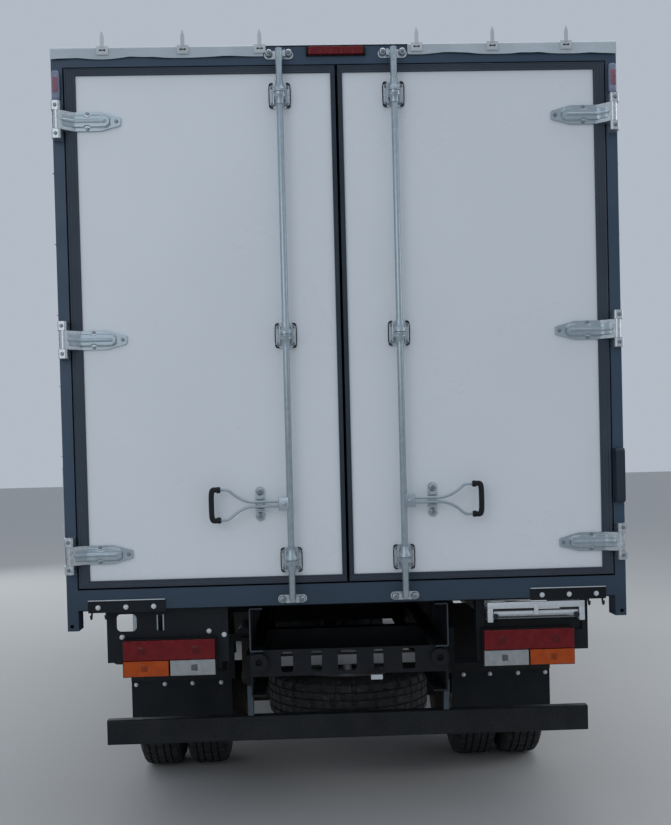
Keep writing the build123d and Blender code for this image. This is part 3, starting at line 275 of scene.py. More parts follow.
def coatedCloth(tree, shader, place, settings):
    # PVC tarpaulin: woven grid under a satin coat, chalky patches and water streaks
    patch = ramp(tree, cloud(tree, place, settings["patch"], 5.0, (1, 1, 0.5)), 0.35, 0.68)
    colour = blendColour(tree, patch, settings["colour"], settings["second"])
    streak = ramp(tree, cloud(tree, place, 0.05, 3.0, (1, 1, 0.06)), 0.55, 0.8, 0.0, settings["streak"])
    colour = blendColour(tree, streak, colour, settings["streakColour"])
    share, colour = dustAndPaintedShade(tree, place, colour, settings)
    waves = []
    for direction in "ZY":
        wave = texture(tree, place, "Wave", 0.314 / settings["thread"])
        wave.bands_direction = direction
        waves.append(wave.outputs["Fac"])
    bumped(tree, shader, math2(tree, "ADD", *waves), settings["threadDepth"])
    return colour, dulled(tree, ramp(tree, patch, 0, 1, *settings["roughness"]), share, 0.4)


def muddyRubber(tree, shader, place, settings):
    patch = ramp(tree, cloud(tree, place, 0.09, 6.0), 0.4, 0.62)
    colour = blendColour(tree, patch, settings["colour"], settings["second"])
    mud = ramp(tree, cloud(tree, place, 0.03, 8.0), 0.52, 0.7, 0.0, settings["mud"])
    bumped(tree, shader, cloud(tree, place, 0.004, 4.0), 0.0006)
    return blendColour(tree, mud, colour, earth), ramp(tree, patch, 0, 1, *settings["roughness"])


def clearGlass(tree, shader, place, settings):
    shader.inputs["IOR"].default_value = 1.45
    smear = ramp(tree, cloud(tree, place, 0.2, 6.0, (1, 1, 0.4)), 0.5, 0.8, *settings["roughness"])
    film = ramp(tree, cloud(tree, place, 0.5, 4.0), 0.3, 0.7)
    return blendColour(tree, film, settings["colour"], settings["second"]), smear


def ribbedLens(tree, shader, place, settings):
    # lamp lens with fine upright ribs
    film = ramp(tree, cloud(tree, place, 0.03, 5.0), 0.35, 0.7)
    shader.inputs["Specular IOR Level"].default_value = 0.3
    rib = texture(tree, place, "Wave", 0.314 / settings["rib"])
    rib.bands_direction = "X"
    bumped(tree, shader, rib.outputs["Fac"], 0.0005)
    colour = blendColour(tree, film, settings["colour"], settings["second"])
    return colour, ramp(tree, film, 0, 1, *settings["roughness"])


def plywood(tree, shader, place, settings):
    grain = ramp(tree, cloud(tree, place, 0.03, 8.0, (1, 0.06, 1)), 0.3, 0.7)
    colour = blendColour(tree, grain, settings["colour"], settings["second"])
    share, colour = dustAndPaintedShade(tree, place, colour, settings)
    bumped(tree, shader, grain, 0.0006)
    return colour, ramp(tree, grain, 0, 1, *settings["roughness"])


def wovenSeat(tree, shader, place, settings):
    shader.inputs["Sheen Weight"].default_value = 0.3
    check = texture(tree, place, "Checker", 1.0 / settings["thread"])
    colour = blendColour(tree, check.outputs["Fac"], settings["colour"], settings["second"])
    worn = ramp(tree, cloud(tree, place, 0.12, 5.0), 0.45, 0.75, 0.0, 0.5)
    bumped(tree, shader, cloud(tree, place, 0.0025, 2.0), 0.0006)
    colour = blendColour(tree, worn, colour, settings["wornColour"])
    return colour, ramp(tree, worn, 0, 0.5, *settings["roughness"])


earth = (0.30, 0.25, 0.19)

# what a finish has unless its row says otherwise; lengths in metres
usual = {
    "metallic": 0.0, "specular": 0.5, "coat": 0.0, "coatRoughness": 0.08, "clear": 0.0, "patch": 0.35,
    "grain": 0.004, "grainDepth": 0.00015, "dust": 0.1, "dustTop": 1.3, "dustFoot": 0.3, "dustColour": earth,
}

# colour and second colour in thousandths, range of roughness in hundredths, other settings
looks = {
    painted: {
        "chassisSteel": ((6, 8, 11), (11, 14, 18), (35, 55), dict(dust=0.04, specular=0.2)),
        "subframeSteel": ((5, 8, 12), (10, 14, 20), (40, 60), dict(dust=0.03, specular=0.2)),
        "axleIron": ((16, 16, 17), (32, 29, 27), (55, 80),
            dict(grain=0.008, grainDepth=0.0012, dust=0.16, specular=0.2)),
        "engineIron": ((90, 90, 92), (140, 135, 130), (50, 75),
            dict(grain=0.01, grainDepth=0.001, dust=0.14)),
        "tankAluminium": ((550, 560, 570), (660, 670, 680), (28, 45), dict(metallic=0.9, dust=0.12)),
        "blackPlastic": ((8, 9, 11), (14, 15, 18), (50, 70),
            dict(grain=0.002, grainDepth=0.0003, dust=0.04, specular=0.2)),
        "exhaustSteel": ((50, 52, 56), (80, 80, 80), (35, 60), dict(metallic=0.7, dust=0.03)),
        "guardAluminium": ((580, 590, 600), (660, 670, 680), (30, 45), dict(metallic=0.85)),
        "flapRubber": ((7, 10, 14), (11, 15, 19), (50, 72),
            dict(grain=0.003, grainDepth=0.0003, dust=0.03, dustTop=0.9, dustFoot=0.1, specular=0.2)),
        "bumperPlastic": ((50, 51, 54), (62, 63, 66), (45, 60),
            dict(grain=0.002, grainDepth=0.0003, specular=0.2)),
        "rimSteel": ((500, 510, 530), (580, 590, 600), (35, 50),
            dict(metallic=0.4, dust=0.14, dustTop=1.0, dustFoot=0.0)),
        "wallPanel": ((740, 760, 780), (770, 790, 800), (30, 40), dict(dust=0.04)),
        "boardAluminium": ((600, 610, 620), (680, 690, 700), (30, 45), dict(metallic=0.85)),
        # door frame: the near-black colour mixed in from 1.4 m down to 1.1 m is painted shade, darkest on the
        # sill
        "portalPaint": ((46, 78, 120), (53, 88, 134), (30, 42),
            dict(specular=0.3, dust=0.42, dustEven=True, dustTop=1.4, dustFoot=1.1, dustColour=(0.012, 0.017,
            0.022))),
        "cabPaint": ((740, 760, 780), (780, 800, 820), (18, 26),
            dict(coat=0.6, grain=0.002, grainDepth=0.00005, dust=0.11)),
        "trimPlastic": ((55, 55, 58), (70, 70, 73), (55, 70),
            dict(grain=0.002, grainDepth=0.0004, dust=0.02)),
        "doorPanel": ((800, 840, 870), (830, 870, 900), (26, 36),
            dict(patch=0.9, grain=0.012, grainDepth=0.0002, dust=0.02, dustTop=1.9, dustFoot=1.1)),
        "doorRubber": ((40, 54, 74), (48, 64, 86), (50, 68),
            dict(specular=0.3, dust=0.04, dustTop=1.7, dustFoot=1.0)),
        "mirrorGlass": ((750, 780, 800), (800, 820, 840), (2, 6),
            dict(metallic=1.0, grain=0.05, grainDepth=0.0, dust=0.02)),
        # also the painted highlights along the sill plates' upper edges
        "paleTie": ((520, 560, 580), (640, 670, 690), (40, 60), dict(grain=0.003, dust=0.02)),
        "gripRubber": ((12, 13, 15), (20, 21, 24), (40, 55),
            dict(grain=0.0015, grainDepth=0.0003, dust=0.01, specular=0.2)),
        # also the painted highlights on the subframe rails' ends
        "dullSteel": ((55, 75, 95), (75, 98, 120), (45, 60), dict(specular=0.3, dust=0.05)),
        "handlePlastic": ((20, 31, 46), (26, 38, 54), (45, 60),
            dict(specular=0.3, grain=0.002, grainDepth=0.0003, dust=0.01)),
        # also the painted shade along the sides of the bar guides' plates
        "darkSteel": ((20, 23, 27), (32, 36, 41), (30, 45), dict(dust=0.03, specular=0.2)),
    },
    zincPlated: {
        "frameSteel": ((520, 540, 560), (640, 660, 680), (30, 50), dict(metallic=0.8, crystal=0.02)),
        "zinc": ((500, 540, 570), (660, 700, 730), (22, 42), dict(metallic=0.85, crystal=0.012, dust=0.05)),
        "brushedZinc": ((370, 440, 480), (450, 520, 560), (28, 40),
            dict(metallic=0.75, crystal=0.02, dust=0.03)),
        "darkZinc": ((220, 240, 260), (300, 320, 340), (30, 45),
            dict(metallic=0.8, crystal=0.006, dust=0.04)),
        "paleZinc": ((620, 650, 670), (720, 750, 770), (35, 50),
            dict(metallic=0.35, crystal=0.006, dust=0.02)),
    },
    coatedCloth: {
        "tarpaulin": ((470, 540, 580), (540, 610, 650), (42, 60),
            dict(thread=0.0016, threadDepth=0.0002, streak=0.12, streakColour=(0.36, 0.40, 0.42), dust=0.08)),
    },
    muddyRubber: {
        "tyreRubber": ((13, 14, 15), (22, 23, 24), (75, 95), dict(mud=0.12)),
    },
    plywood: {
        "floorWood": ((120, 65, 35), (200, 115, 65), (40, 60), {}),
    },
    clearGlass: {
        "windowGlass": ((620, 700, 700), (700, 760, 760), (2, 12), dict(clear=0.9)),
        "lampGlass": ((900, 920, 940), (970, 970, 970), (3, 15), dict(clear=0.8)),
    },
    wovenSeat: {
        "seatFabric": ((50, 55, 70), (90, 95, 115), (80, 95),
            dict(wornColour=(0.11, 0.11, 0.12), thread=0.006)),
    },
    ribbedLens: {
        "redLens": ((150, 3, 6), (200, 5, 9), (12, 25), dict(clear=0.1, rib=0.012)),
        "orangeLens": ((440, 62, 4), (520, 85, 7), (12, 25), dict(clear=0.1, rib=0.01)),
        # this row and the darker red and grey rows below are painted shade of the bulbs behind the lenses
        "deepOrangeLens": ((240, 35, 4), (300, 50, 6), (15, 30), dict(clear=0.1, rib=0.01)),
        "pinkLens": ((300, 130, 180), (360, 170, 220), (20, 35), dict(clear=0.15, rib=0.006)),
        "deepRedLens": ((100, 3, 5), (130, 4, 7), (15, 30), dict(clear=0.1, rib=0.012)),
        "smokedLens": ((90, 95, 100), (140, 145, 150), (15, 30), dict(clear=0.1, rib=0.008)),
        "paleLens": ((240, 280, 400), (310, 350, 470), (15, 30), dict(clear=0.15, rib=0.006)),
        "whiteLens": ((360, 380, 385), (450, 470, 475), (12, 25), dict(clear=0.2, rib=0.008)),
    },
}


# the shader's inputs that a setting gives as they are
plainInputs = {
    "Metallic": "metallic", "Specular IOR Level": "specular", "Coat Weight": "coat",
    "Coat Roughness": "coatRoughness", "Transmission Weight": "clear",
}


def newFinish(name, maker, settings):
    material = bpy.data.materials.new(name)
    material.use_nodes = True
    tree = material.node_tree
    shader = tree.nodes["Principled BSDF"]
    for socket, key in plainInputs.items():
        shader.inputs[socket].default_value = settings[key]
    place = tree.nodes.new("ShaderNodeTexCoord").outputs["Object"]
    colour, gloss = maker(tree, shader, place, settings)
    tree.links.new(colour, shader.inputs["Base Color"])
    tree.links.new(gloss, shader.inputs["Roughness"])
    return material


finishes = {}
for maker, rows in looks.items():
    for name, (colour, second, roughness, others) in rows.items():
        settings = {**usual, **others, "roughness": [part / 100 for part in roughness]}
        for key, parts in (("colour", colour), ("second", second)):
            settings[key] = tuple(part / 1000 for part in parts)
        finishes[name] = newFinish(name, maker, settings)


def camelCase(slotName):
    first, *others = slotName.split("_")
    return first + "".join(word.capitalize() for word in others)


# a CAD piece wears the finish that its slot is named after, apart from these
wornBySlot = {
    "box_plastic": "blackPlastic", "tyre": "tyreRubber", "galvanised_steel": "zinc",
    "lamp_plastic": "redLens",
}
for part in frame["record"]["subparts"]:
    slotName = part["material_slot"]
    wornBySlot.setdefault(slotName, camelCase(slotName))
    paint(nodes[part["node"]], finishes[wornBySlot[slotName]])
paint(nodes["grab_handle"], finishes["handlePlastic"])

# the slot that each finish usually belongs to
slotOf = {finish: slotName for slotName, finish in wornBySlot.items()}
furtherFinishes = {
    "galvanised_steel": "brushedZinc darkZinc paleZinc", "chassis_steel": "darkSteel",
    "subframe_steel": "dullSteel", "box_plastic": "gripRubber", "lamp_glass": "mirrorGlass",
    "tarpaulin": "paleTie",
    "lamp_plastic": "orangeLens whiteLens deepRedLens smokedLens deepOrangeLens paleLens pinkLens",
}
for slotName, names in furtherFinishes.items():
    slotOf.update({finish: slotName for finish in names.split()})

print("finishes")


# Modelling helpers

def at(x, y, z):
    # y is counted forwards from the rear faces of the doors
    return Vector((x, doorFaceY + y, z))


def atAll(places):
    return [at(*place) for place in places]


def spanOn(sign, near, far):
    # a span across the truck, on the side that sign says
    return sorted((sign * near, sign * far))


def around(middle, half):
    return (middle - half, middle + half)


def softened(piece, width, segments=2, smoothAngle=35):
    bevel = piece.modifiers.new("edges", "BEVEL")
    bevel.width = width
    bevel.segments = segments
    bevel.limit_method = "ANGLE"
    return settle(piece, smoothAngle)


def block(x, y, z, edge=0, segments=2):
    # a cube of the given spans, to be shaped further where no rounded edge is asked for
    middle = at((x[0] + x[1]) / 2, (y[0] + y[1]) / 2, (z[0] + z[1]) / 2)
    selectOnly()
    bpy.ops.mesh.primitive_cube_add(size=1, location=middle, scale=(x[1] - x[0], y[1] - y[0], z[1] - z[0]))
    piece = settle(bpy.context.object)
    return softened(piece, edge, segments) if edge else piece


def roundBar(radius, place, length, along="Z", sides=24):
    selectOnly()
    turn = {"Y": (math.pi / 2, 0, 0), "Z": (0, 0, 0)}[along]
    bpy.ops.mesh.primitive_cylinder_add(
        vertices=sides, radius=radius, depth=length, location=place, rotation=turn)
    return settle(bpy.context.object)


def ringAt(place, radius, thickness, segments, turn=(0, 0, 0)):
    bpy.ops.mesh.primitive_torus_add(
        major_radius=radius, minor_radius=thickness, major_segments=segments, minor_segments=8,
        location=place, rotation=turn)
    return settle(bpy.context.object, 40)


def toRear(centre, normal):
    return normal.y < -0.9


def toFront(centre, normal):
    return normal.y > 0.9


def upwards(centre, normal):
    return normal.z > 0.9


def shaped(piece, wanted, inset=0, single=False, shift=None, push=0, recess=0, resize=None, about=None):
    # the faces whose centre and normal pass the test are inset, moved, pushed, drawn in or resized
    selectOnly(piece)
    bpy.ops.object.mode_set(mode="EDIT")
    bpy.ops.mesh.select_mode(type="FACE")
    bpy.ops.mesh.select_all(action="DESELECT")
    mesh = bmesh.from_edit_mesh(piece.data)
    mesh.normal_update()
    for face in mesh.faces:
        face.select = bool(wanted(face.calc_center_median(), face.normal))
    bmesh.update_edit_mesh(piece.data)
    if inset:
        bpy.ops.mesh.inset(thickness=inset, use_individual=single)
    if shift:
        bpy.ops.transform.translate(value=shift)
    if push:
        bpy.ops.transform.shrink_fatten(value=push)
    if recess:
        bpy.ops.mesh.extrude_region_move(TRANSFORM_OT_translate={"value": (0, recess, 0)})
    if resize:
        bpy.ops.transform.resize(value=resize, center_override=about)
    bpy.ops.object.mode_set(mode="OBJECT")
    return piece


def cutAcross(piece, axis, places):
    # straight cuts through the whole piece at each place along an axis
    selectOnly(piece)
    bpy.ops.object.mode_set(mode="EDIT")
    normal = [1.0 if axis == other else 0.0 for other in "XYZ"]
    for place in places:
        point = at(0, place, 0) if axis == "Y" else Vector([place * part for part in normal])
        bpy.ops.mesh.select_all(action="SELECT")
        bpy.ops.mesh.bisect(plane_co=point, plane_no=normal)
    bpy.ops.object.mode_set(mode="OBJECT")


def copyTo(source, shift=(0, 0, 0), mirrorX=False, turn=None):
    twin = source.copy()
    twin.data = source.data.copy()
    bpy.context.scene.collection.objects.link(twin)
    change = Matrix.Translation(shift)
    if turn:
        change = change @ Matrix.Rotation(turn[0], 4, turn[1])
    if mirrorX:
        change = Matrix.Scale(-1, 4, (1, 0, 0)) @ change
    twin.data.transform(change)
    if mirrorX:
        twin.data.flip_normals()
    return twin


def welded(piece):
    # coinciding points become one and all faces point outwards
    selectOnly(piece)
    bpy.ops.object.mode_set(mode="EDIT")
    bpy.ops.mesh.select_all(action="SELECT")
    bpy.ops.mesh.remove_doubles(threshold=0.00005)
    bpy.ops.mesh.select_all(action="SELECT")
    bpy.ops.mesh.normals_make_consistent(inside=False)
    bpy.ops.object.mode_set(mode="OBJECT")
    return piece


def spun(points, axis, steps):
    # a section spun about an axis through the origin
    selectOnly()
    bpy.ops.mesh.primitive_plane_add(size=0.01)
    piece = bpy.context.object
    bpy.ops.object.mode_set(mode="EDIT")
    mesh = bmesh.from_edit_mesh(piece.data)
    bmesh.ops.delete(mesh, geom=mesh.verts, context="VERTS")
    corners = [mesh.verts.new(point) for point in points]
    for first, second in zip(corners, corners[1:]):
        mesh.edges.new((first, second))
    bmesh.update_edit_mesh(piece.data)
    bpy.ops.mesh.select_all(action="SELECT")
    bpy.ops.mesh.spin(steps=steps, angle=2 * math.pi, center=(0, 0, 0), axis=axis)
    return welded(piece)


def turned(profile, place, axis="Y", steps=24):
    # a round piece from (along the axis, radius) pairs; along Y it points to the rear
    vector = {"X": (1, 0, 0), "Y": (0, 1, 0), "Z": (0, 0, 1)}[axis]
    row = {"X": lambda a, r: (a, 0, r), "Y": lambda a, r: (0, -a, r), "Z": lambda a, r: (0, r, a)}[axis]
    piece = spun([row(along, radius) for along, radius in profile], vector, steps)
    piece.location = place
    return settle(piece, 40)


def spreads(stations, steps):
    # places from the first station to the last, with about one step between each pair
    line = []
    for low, high, step in zip(stations, stations[1:], steps):
        count = max(1, round((high - low) / step))
        line += [low + (high - low) * index / count for index in range(count)]
    return line + [stations[-1]]


def aroundFold(reach, edge, fold):
    # where a sheet that bends down over an edge has come after this much cloth: (across, down)
    past = reach - (edge - fold)
    if past <= 0:
        return reach, 0.0
    bend = fold * math.pi / 2
    if past < bend:
        return edge - fold + fold * math.sin(past / fold), fold * (1 - math.cos(past / fold))
    return edge, fold + past - bend


def everywhere(u, v):
    return True


def gridSheet(columns, rows, placed, kept=everywhere):
    # a sheet over the flat positions columns x rows, each moved to placed(u, v)
    selectOnly()
    bpy.ops.mesh.primitive_grid_add(x_subdivisions=len(columns) - 1, y_subdivisions=len(rows) - 1, size=2)
    sheet = bpy.context.object
    bpy.ops.object.mode_set(mode="EDIT")
    mesh = bmesh.from_edit_mesh(sheet.data)
    flat = {}
    for vertex in mesh.verts:
        column = round((vertex.co.x + 1) / 2 * (len(columns) - 1))
        row = round((vertex.co.y + 1) / 2 * (len(rows) - 1))
        flat[vertex] = (columns[column], rows[row])
        vertex.co = placed(*flat[vertex])
    gone = []
    for face in mesh.faces:
        if not kept(*[sum(flat[vertex][axis] for vertex in face.verts) / len(face.verts) for axis in (0, 1)]):
            gone.append(face)
    bmesh.ops.delete(mesh, geom=gone, context="FACES")
    bmesh.update_edit_mesh(sheet.data)
    bpy.ops.object.mode_set(mode="OBJECT")
    return sheet


def clothSheet(name, columns, rows, placed, kept, stands):
    sheet = gridSheet(columns, rows, placed, kept)
    solid = sheet.modifiers.new("thickness", "SOLIDIFY")
    solid.thickness = 0.0012
    solid.offset = 0.0
    mount(settle(sheet, 60), name, "tarpaulin", stands=stands)


def roundTube(points, radius, closed=False):
    # a bar bent along points, rounded where it turns
    curve = bpy.data.curves.new("tube", "CURVE")
    curve.dimensions = "3D"
    spline = curve.splines.new("NURBS")
    spline.points.add(len(points) - 1)
    for point, place in zip(spline.points, points):
        point.co = (*place, 1)
    spline.order_u = 3
    spline.use_endpoint_u = not closed
    spline.use_cyclic_u = closed
    curve.bevel_depth = radius
    curve.bevel_resolution = 3
    curve.resolution_u = 6
    curve.use_fill_caps = True
    piece = bpy.data.objects.new("tube", curve)
    bpy.context.scene.collection.objects.link(piece)
    selectOnly(piece)
    bpy.ops.object.convert(target="MESH")
    return smoothed(bpy.context.object, 50)


def bothSides(pieces, name, finish, body, stands=""):
    # drawn for the right-hand side and mirrored for the left one
    piece = joined(pieces, name)
    twin = copyTo(piece, mirrorX=True)
    for copy, side in ((piece, "Right"), (twin, "Left")):
        ending = side.lower()
        rider = body + ending if body.endswith("_") else body
        mount(copy, name + side, finish, rider, (stands + ending,) if stands else ())


# Bolts: across the head, head height, washer radius
boltSizes = {
    "small": (0.0065, 0.005, 0.009), "large": (0.0085, 0.007, 0.0115), "nut": (0.0165, 0.022, 0.021),
}


def bolts(kind, places, turn=None):
    # hexagon heads on washers, pointing to the rear unless turned
    headRadius, headHeight, washerRadius = boltSizes[kind]
    thick = headHeight * 0.25
    washer = roundBar(washerRadius, (0, -thick / 2, 0), thick, "Y", 16)
    head = roundBar(headRadius, (0, -thick - headHeight / 2, 0), headHeight, "Y", 6)
    shaped(head, toRear, inset=headRadius * 0.22, shift=(0, -headHeight * 0.12, 0))
    source = joined([head, washer], "bolt")
    copies = [copyTo(source, place, turn=turn) for place in places]
    bpy.data.objects.remove(source)
    return copies


print("helpers")


# Rear lamps: a black tray with ribbed lenses for each side, the high brake light and the corner markers

lampMeasures = {
    "centre": 0.822, "width": 0.424, "low": 0.828, "high": 1.0, "split": 0.904, "back": 0.06, "face": -0.006,
    "rim": 0.004, "recess": 0.02, "gap": 0.004, "lensDepth": 0.045, "ribStep": 0.022, "ribDepth": 0.0008,
    # painted shade of the bulbs behind the lenses, as dark squares on the lens faces: name, finish, from
    # which end, how far, half width, heights
    "bulbs": (
        ("bulbShadow", "deepRedLens", "both", 0.09, 0.02, (0.93, 0.968)),
        ("bulbRim", "smokedLens", "near", 0.1, 0.016, (0.852, 0.885)),
        ("bulbGlow", "deepOrangeLens", "far", 0.1, 0.016, (0.852, 0.885)),
    ),
    "bulbDepth": (-0.0072, 0.0),
}


def ribbedLensBlock(x, y, z, ribStep, ribDepth):
    # a lens whose rear face is a row of upright ribs
    lens = block(x, y, z)
    count = max(2, round((x[1] - x[0]) / ribStep))
    step = (x[1] - x[0]) / count
    cutAcross(lens, "X", [x[0] + step * index for index in range(1, count)])

    def everySecond(centre, normal):
        return normal.y < -0.9 and int((centre.x - x[0]) / step) % 2 == 0

    shaped(lens, everySecond, inset=step * 0.2, single=True, shift=(0, -ribDepth, 0))
    return softened(lens, 0.0006, 1)


def makeLamps(size):
    face, split, ribs = size["face"], size["split"], (size["ribStep"], size["ribDepth"])
    for side, sign in sidesOfTruck:
        near, far = around(size["centre"], size["width"] / 2)
        x = spanOn(sign, near, far)
        tray = block(x, (face + 0.012, size["back"]), (size["low"], size["high"]))
        shaped(tray, toRear, inset=size["rim"], recess=size["recess"])
        mount(softened(tray, 0.002), "lampTray" + side, "blackPlastic")
        middle = sign * size["centre"]
        rim = size["rim"] + 0.001
        upper = (split + size["gap"] / 2, size["high"] - rim)
        lower = (size["low"] + rim, split - size["gap"] / 2)
        depth = (face, face + size["lensDepth"])
        rows = (
            ("red", (x[0] + rim, x[1] - rim), upper),
            ("orange", sorted((middle + sign * size["gap"], sign * (far - rim))), lower),
            ("white", sorted((sign * (near + rim), middle - sign * size["gap"])), lower),
        )
        for colour, span, tall in rows:
            lens = ribbedLensBlock(span, depth, tall, *ribs)
            stands = ("rear_lamps",) if colour == "red" and side == "Left" else ()
            mount(lens, colour + "Lens" + side, colour + "Lens", stands=stands)
        # dark squares on the lens faces: painted shade where the bulbs sit behind them
        for name, finish, end, reach, half, tall in size["bulbs"]:
            ends = {"both": (near + reach, far - reach), "near": (near + reach,), "far": (far - reach,)}[end]
            spans = [spanOn(sign, *around(place, half)) for place in ends]
            mount([block(x, size["bulbDepth"], tall, 0.004) for x in spans], name + side, finish)


makeLamps(lampMeasures)

markerMeasures = {
    "x": (1.236, 1.270), "y": (-0.027, 0.0), "z": (3.426, 3.560), "parts": (3.458, 3.528),
    "swell": 0.001, "inside": 0.005, "window": (-0.0295, -0.02),
}


def makeMarkers(size):
    # three stacked lenses on each pillar: pale, red, pale
    low, high = size["parts"]
    for side, sign in sidesOfTruck:
        x = spanOn(sign, *size["x"])
        marker = block(x, size["y"], size["z"])
        cutAcross(marker, "Z", size["parts"])
        shaped(
            marker, lambda centre, normal: low < centre.z < high and abs(normal.z) < 0.5, push=size["swell"])
        mount(softened(marker, 0.0125, 5), "cornerMarker" + side, "paleLens")
        window = block((x[0] + size["inside"], x[1] - size["inside"]), size["window"], size["parts"], 0.003)
        mount(window, "markerWindow" + side, "pinkLens")


makeMarkers(markerMeasures)

brakeLightMeasures = {
    "lens": ((-0.122, 0.122), (-0.021, -0.004), (3.6165, 3.6495), 0.024, 0.0008),
    "foot": ((-0.134, 0.134), (-0.006, 0.0), (3.611, 3.654), 0.002),
    "cap": (0.1225, 0.1335), "capDepth": (-0.020, -0.004), "capHeight": (3.616, 3.650),
}


def makeBrakeLight(size):
    mount(ribbedLensBlock(*size["lens"]), "highBrakeLight", "redLens")
    mount(block(*size["foot"]), "brakeLightFoot", "blackPlastic")
    spans = [spanOn(sign, *size["cap"]) for sign in (-1, 1)]
    caps = [block(x, size["capDepth"], size["capHeight"], 0.004, 3) for x in spans]
    mount(caps, "brakeLightCaps", "blackPlastic")


makeBrakeLight(brakeLightMeasures)
print("rear lamps")


# Tyres: one profile spun about the axle, with grooves between tread ribs and cross cuts in the shoulders

tyreMeasures = {
    "radius": 0.419, "tread": 0.094, "groove": 0.009, "grooveDepth": 0.012, "grooves": (0.022, 0.060),
    "steps": 96, "shoulderDepth": 0.009, "ribDepth": 0.005,
    # from the tread's edge, as (further out, lower), then the side wall, as (from the middle, radius)
    "shoulder": ((0.0, 0.006), (0.012, 0.02), (0.016, 0.036)),
    "wall": (
        (0.1175, 0.368), (0.1215, 0.348), (0.1225, 0.33), (0.1195, 0.302), (0.1125, 0.284), (0.1105, 0.279),
        (0.1045, 0.275), (0.0895, 0.262), (0.0855, 0.2482),
    ),
    # node, body, place along the truck, places across it
    "wheels": (
        ("frontTyre", "front_tyre_", "front_wheel_", 6.25, (0.95,)),
        ("rearTyre", "rear_tyres_", "rear_wheels_", 1.65, (0.78, 1.05)),
    ),
    "spare": (0.02, 0.85, 0.575),
}


def tyreProfile(size):
    # half section from the crown to the bead, as (distance from the middle plane, radius)
    crown, tread, low = size["radius"], size["tread"], size["radius"] - size["grooveDepth"]
    points = [(0.0, crown)]
    for groove in size["grooves"]:
        near, far = around(groove, size["groove"] / 2)
        points += [(near, crown), (near + 0.0015, low), (far - 0.0015, low), (far, crown)]
    points.append((tread * 0.78, crown - 0.001))
    points += [(tread + out, crown - down) for out, down in size["shoulder"]]
    return points + list(size["wall"])


def makeTyre(size):
    # stands on the X axis through the origin
    half = tyreProfile(size)
    ring = [(x, 0, r) for x, r in half] + [(-x, 0, r) for x, r in reversed(half[1:])]
    tyre = spun(ring + ring[:1], (1, 0, 0), size["steps"])
    crown, (first, second), wide = size["radius"], size["grooves"], size["groove"] / 2

    def stepAndReach(centre):
        turn = 2 * math.pi / size["steps"]
        step = int((math.atan2(centre.y, centre.z) + math.pi) / turn)
        return step, math.hypot(centre.y, centre.z)

    def inShoulder(centre, normal):
        step, reach = stepAndReach(centre)
        return abs(centre.x) > second + 0.006 and reach > crown - 0.034 and (step + (centre.x > 0)) % 3 == 0

    def inRib(centre, normal):
        step, reach = stepAndReach(centre)
        if abs(normal.x) >= 0.3 or reach <= crown - 0.004:
            return False
        inner, outer = abs(centre.x) < first - wide, first + wide < abs(centre.x) < second - wide
        return (inner and step % 4 == 0) or (outer and step % 2 == 0)

    shaped(tyre, inShoulder, inset=0.004, push=-size["shoulderDepth"])
    shaped(tyre, inRib, inset=0.0045, single=True, push=-size["ribDepth"])
    return smoothed(tyre, 32)


def placeTyres(size):
    source = makeTyre(size)
    for side, sign in sidesOfTruck:
        end = side.lower()
        for name, node, body, y, places in size["wheels"]:
            copies = [copyTo(source, at(sign * x, y, size["radius"]), turn=(0.4 * x, "X")) for x in places]
            mount(copies, name + side, "tyreRubber", body + end, stands=(node + end,))
    spare = copyTo(source, at(*size["spare"]), turn=(math.pi / 2, "Y"))
    mount(spare, "spareTyre", "tyreRubber", stands=("spare_tyre",))
    bpy.data.objects.remove(source)


placeTyres(tyreMeasures)
print("tyres")


# Tarpaulin: a roof sheet with skirts and a rear flap, and a sheet on each side

roofMeasures = {
    "halfWidth": 1.2755, "rear": -0.0065, "front": 5.7055, "top": 3.6635, "fold": 0.006,
    "skirt": 0.148, "flap": 0.054, "flapFrom": 0.33, "pillar": 0.105, "bowPitch": 0.545, "firstBow": 0.70,
    "sag": 0.009, "ties": (-1.042, -0.684, -0.340, 0.366, 0.710, 1.045),
}


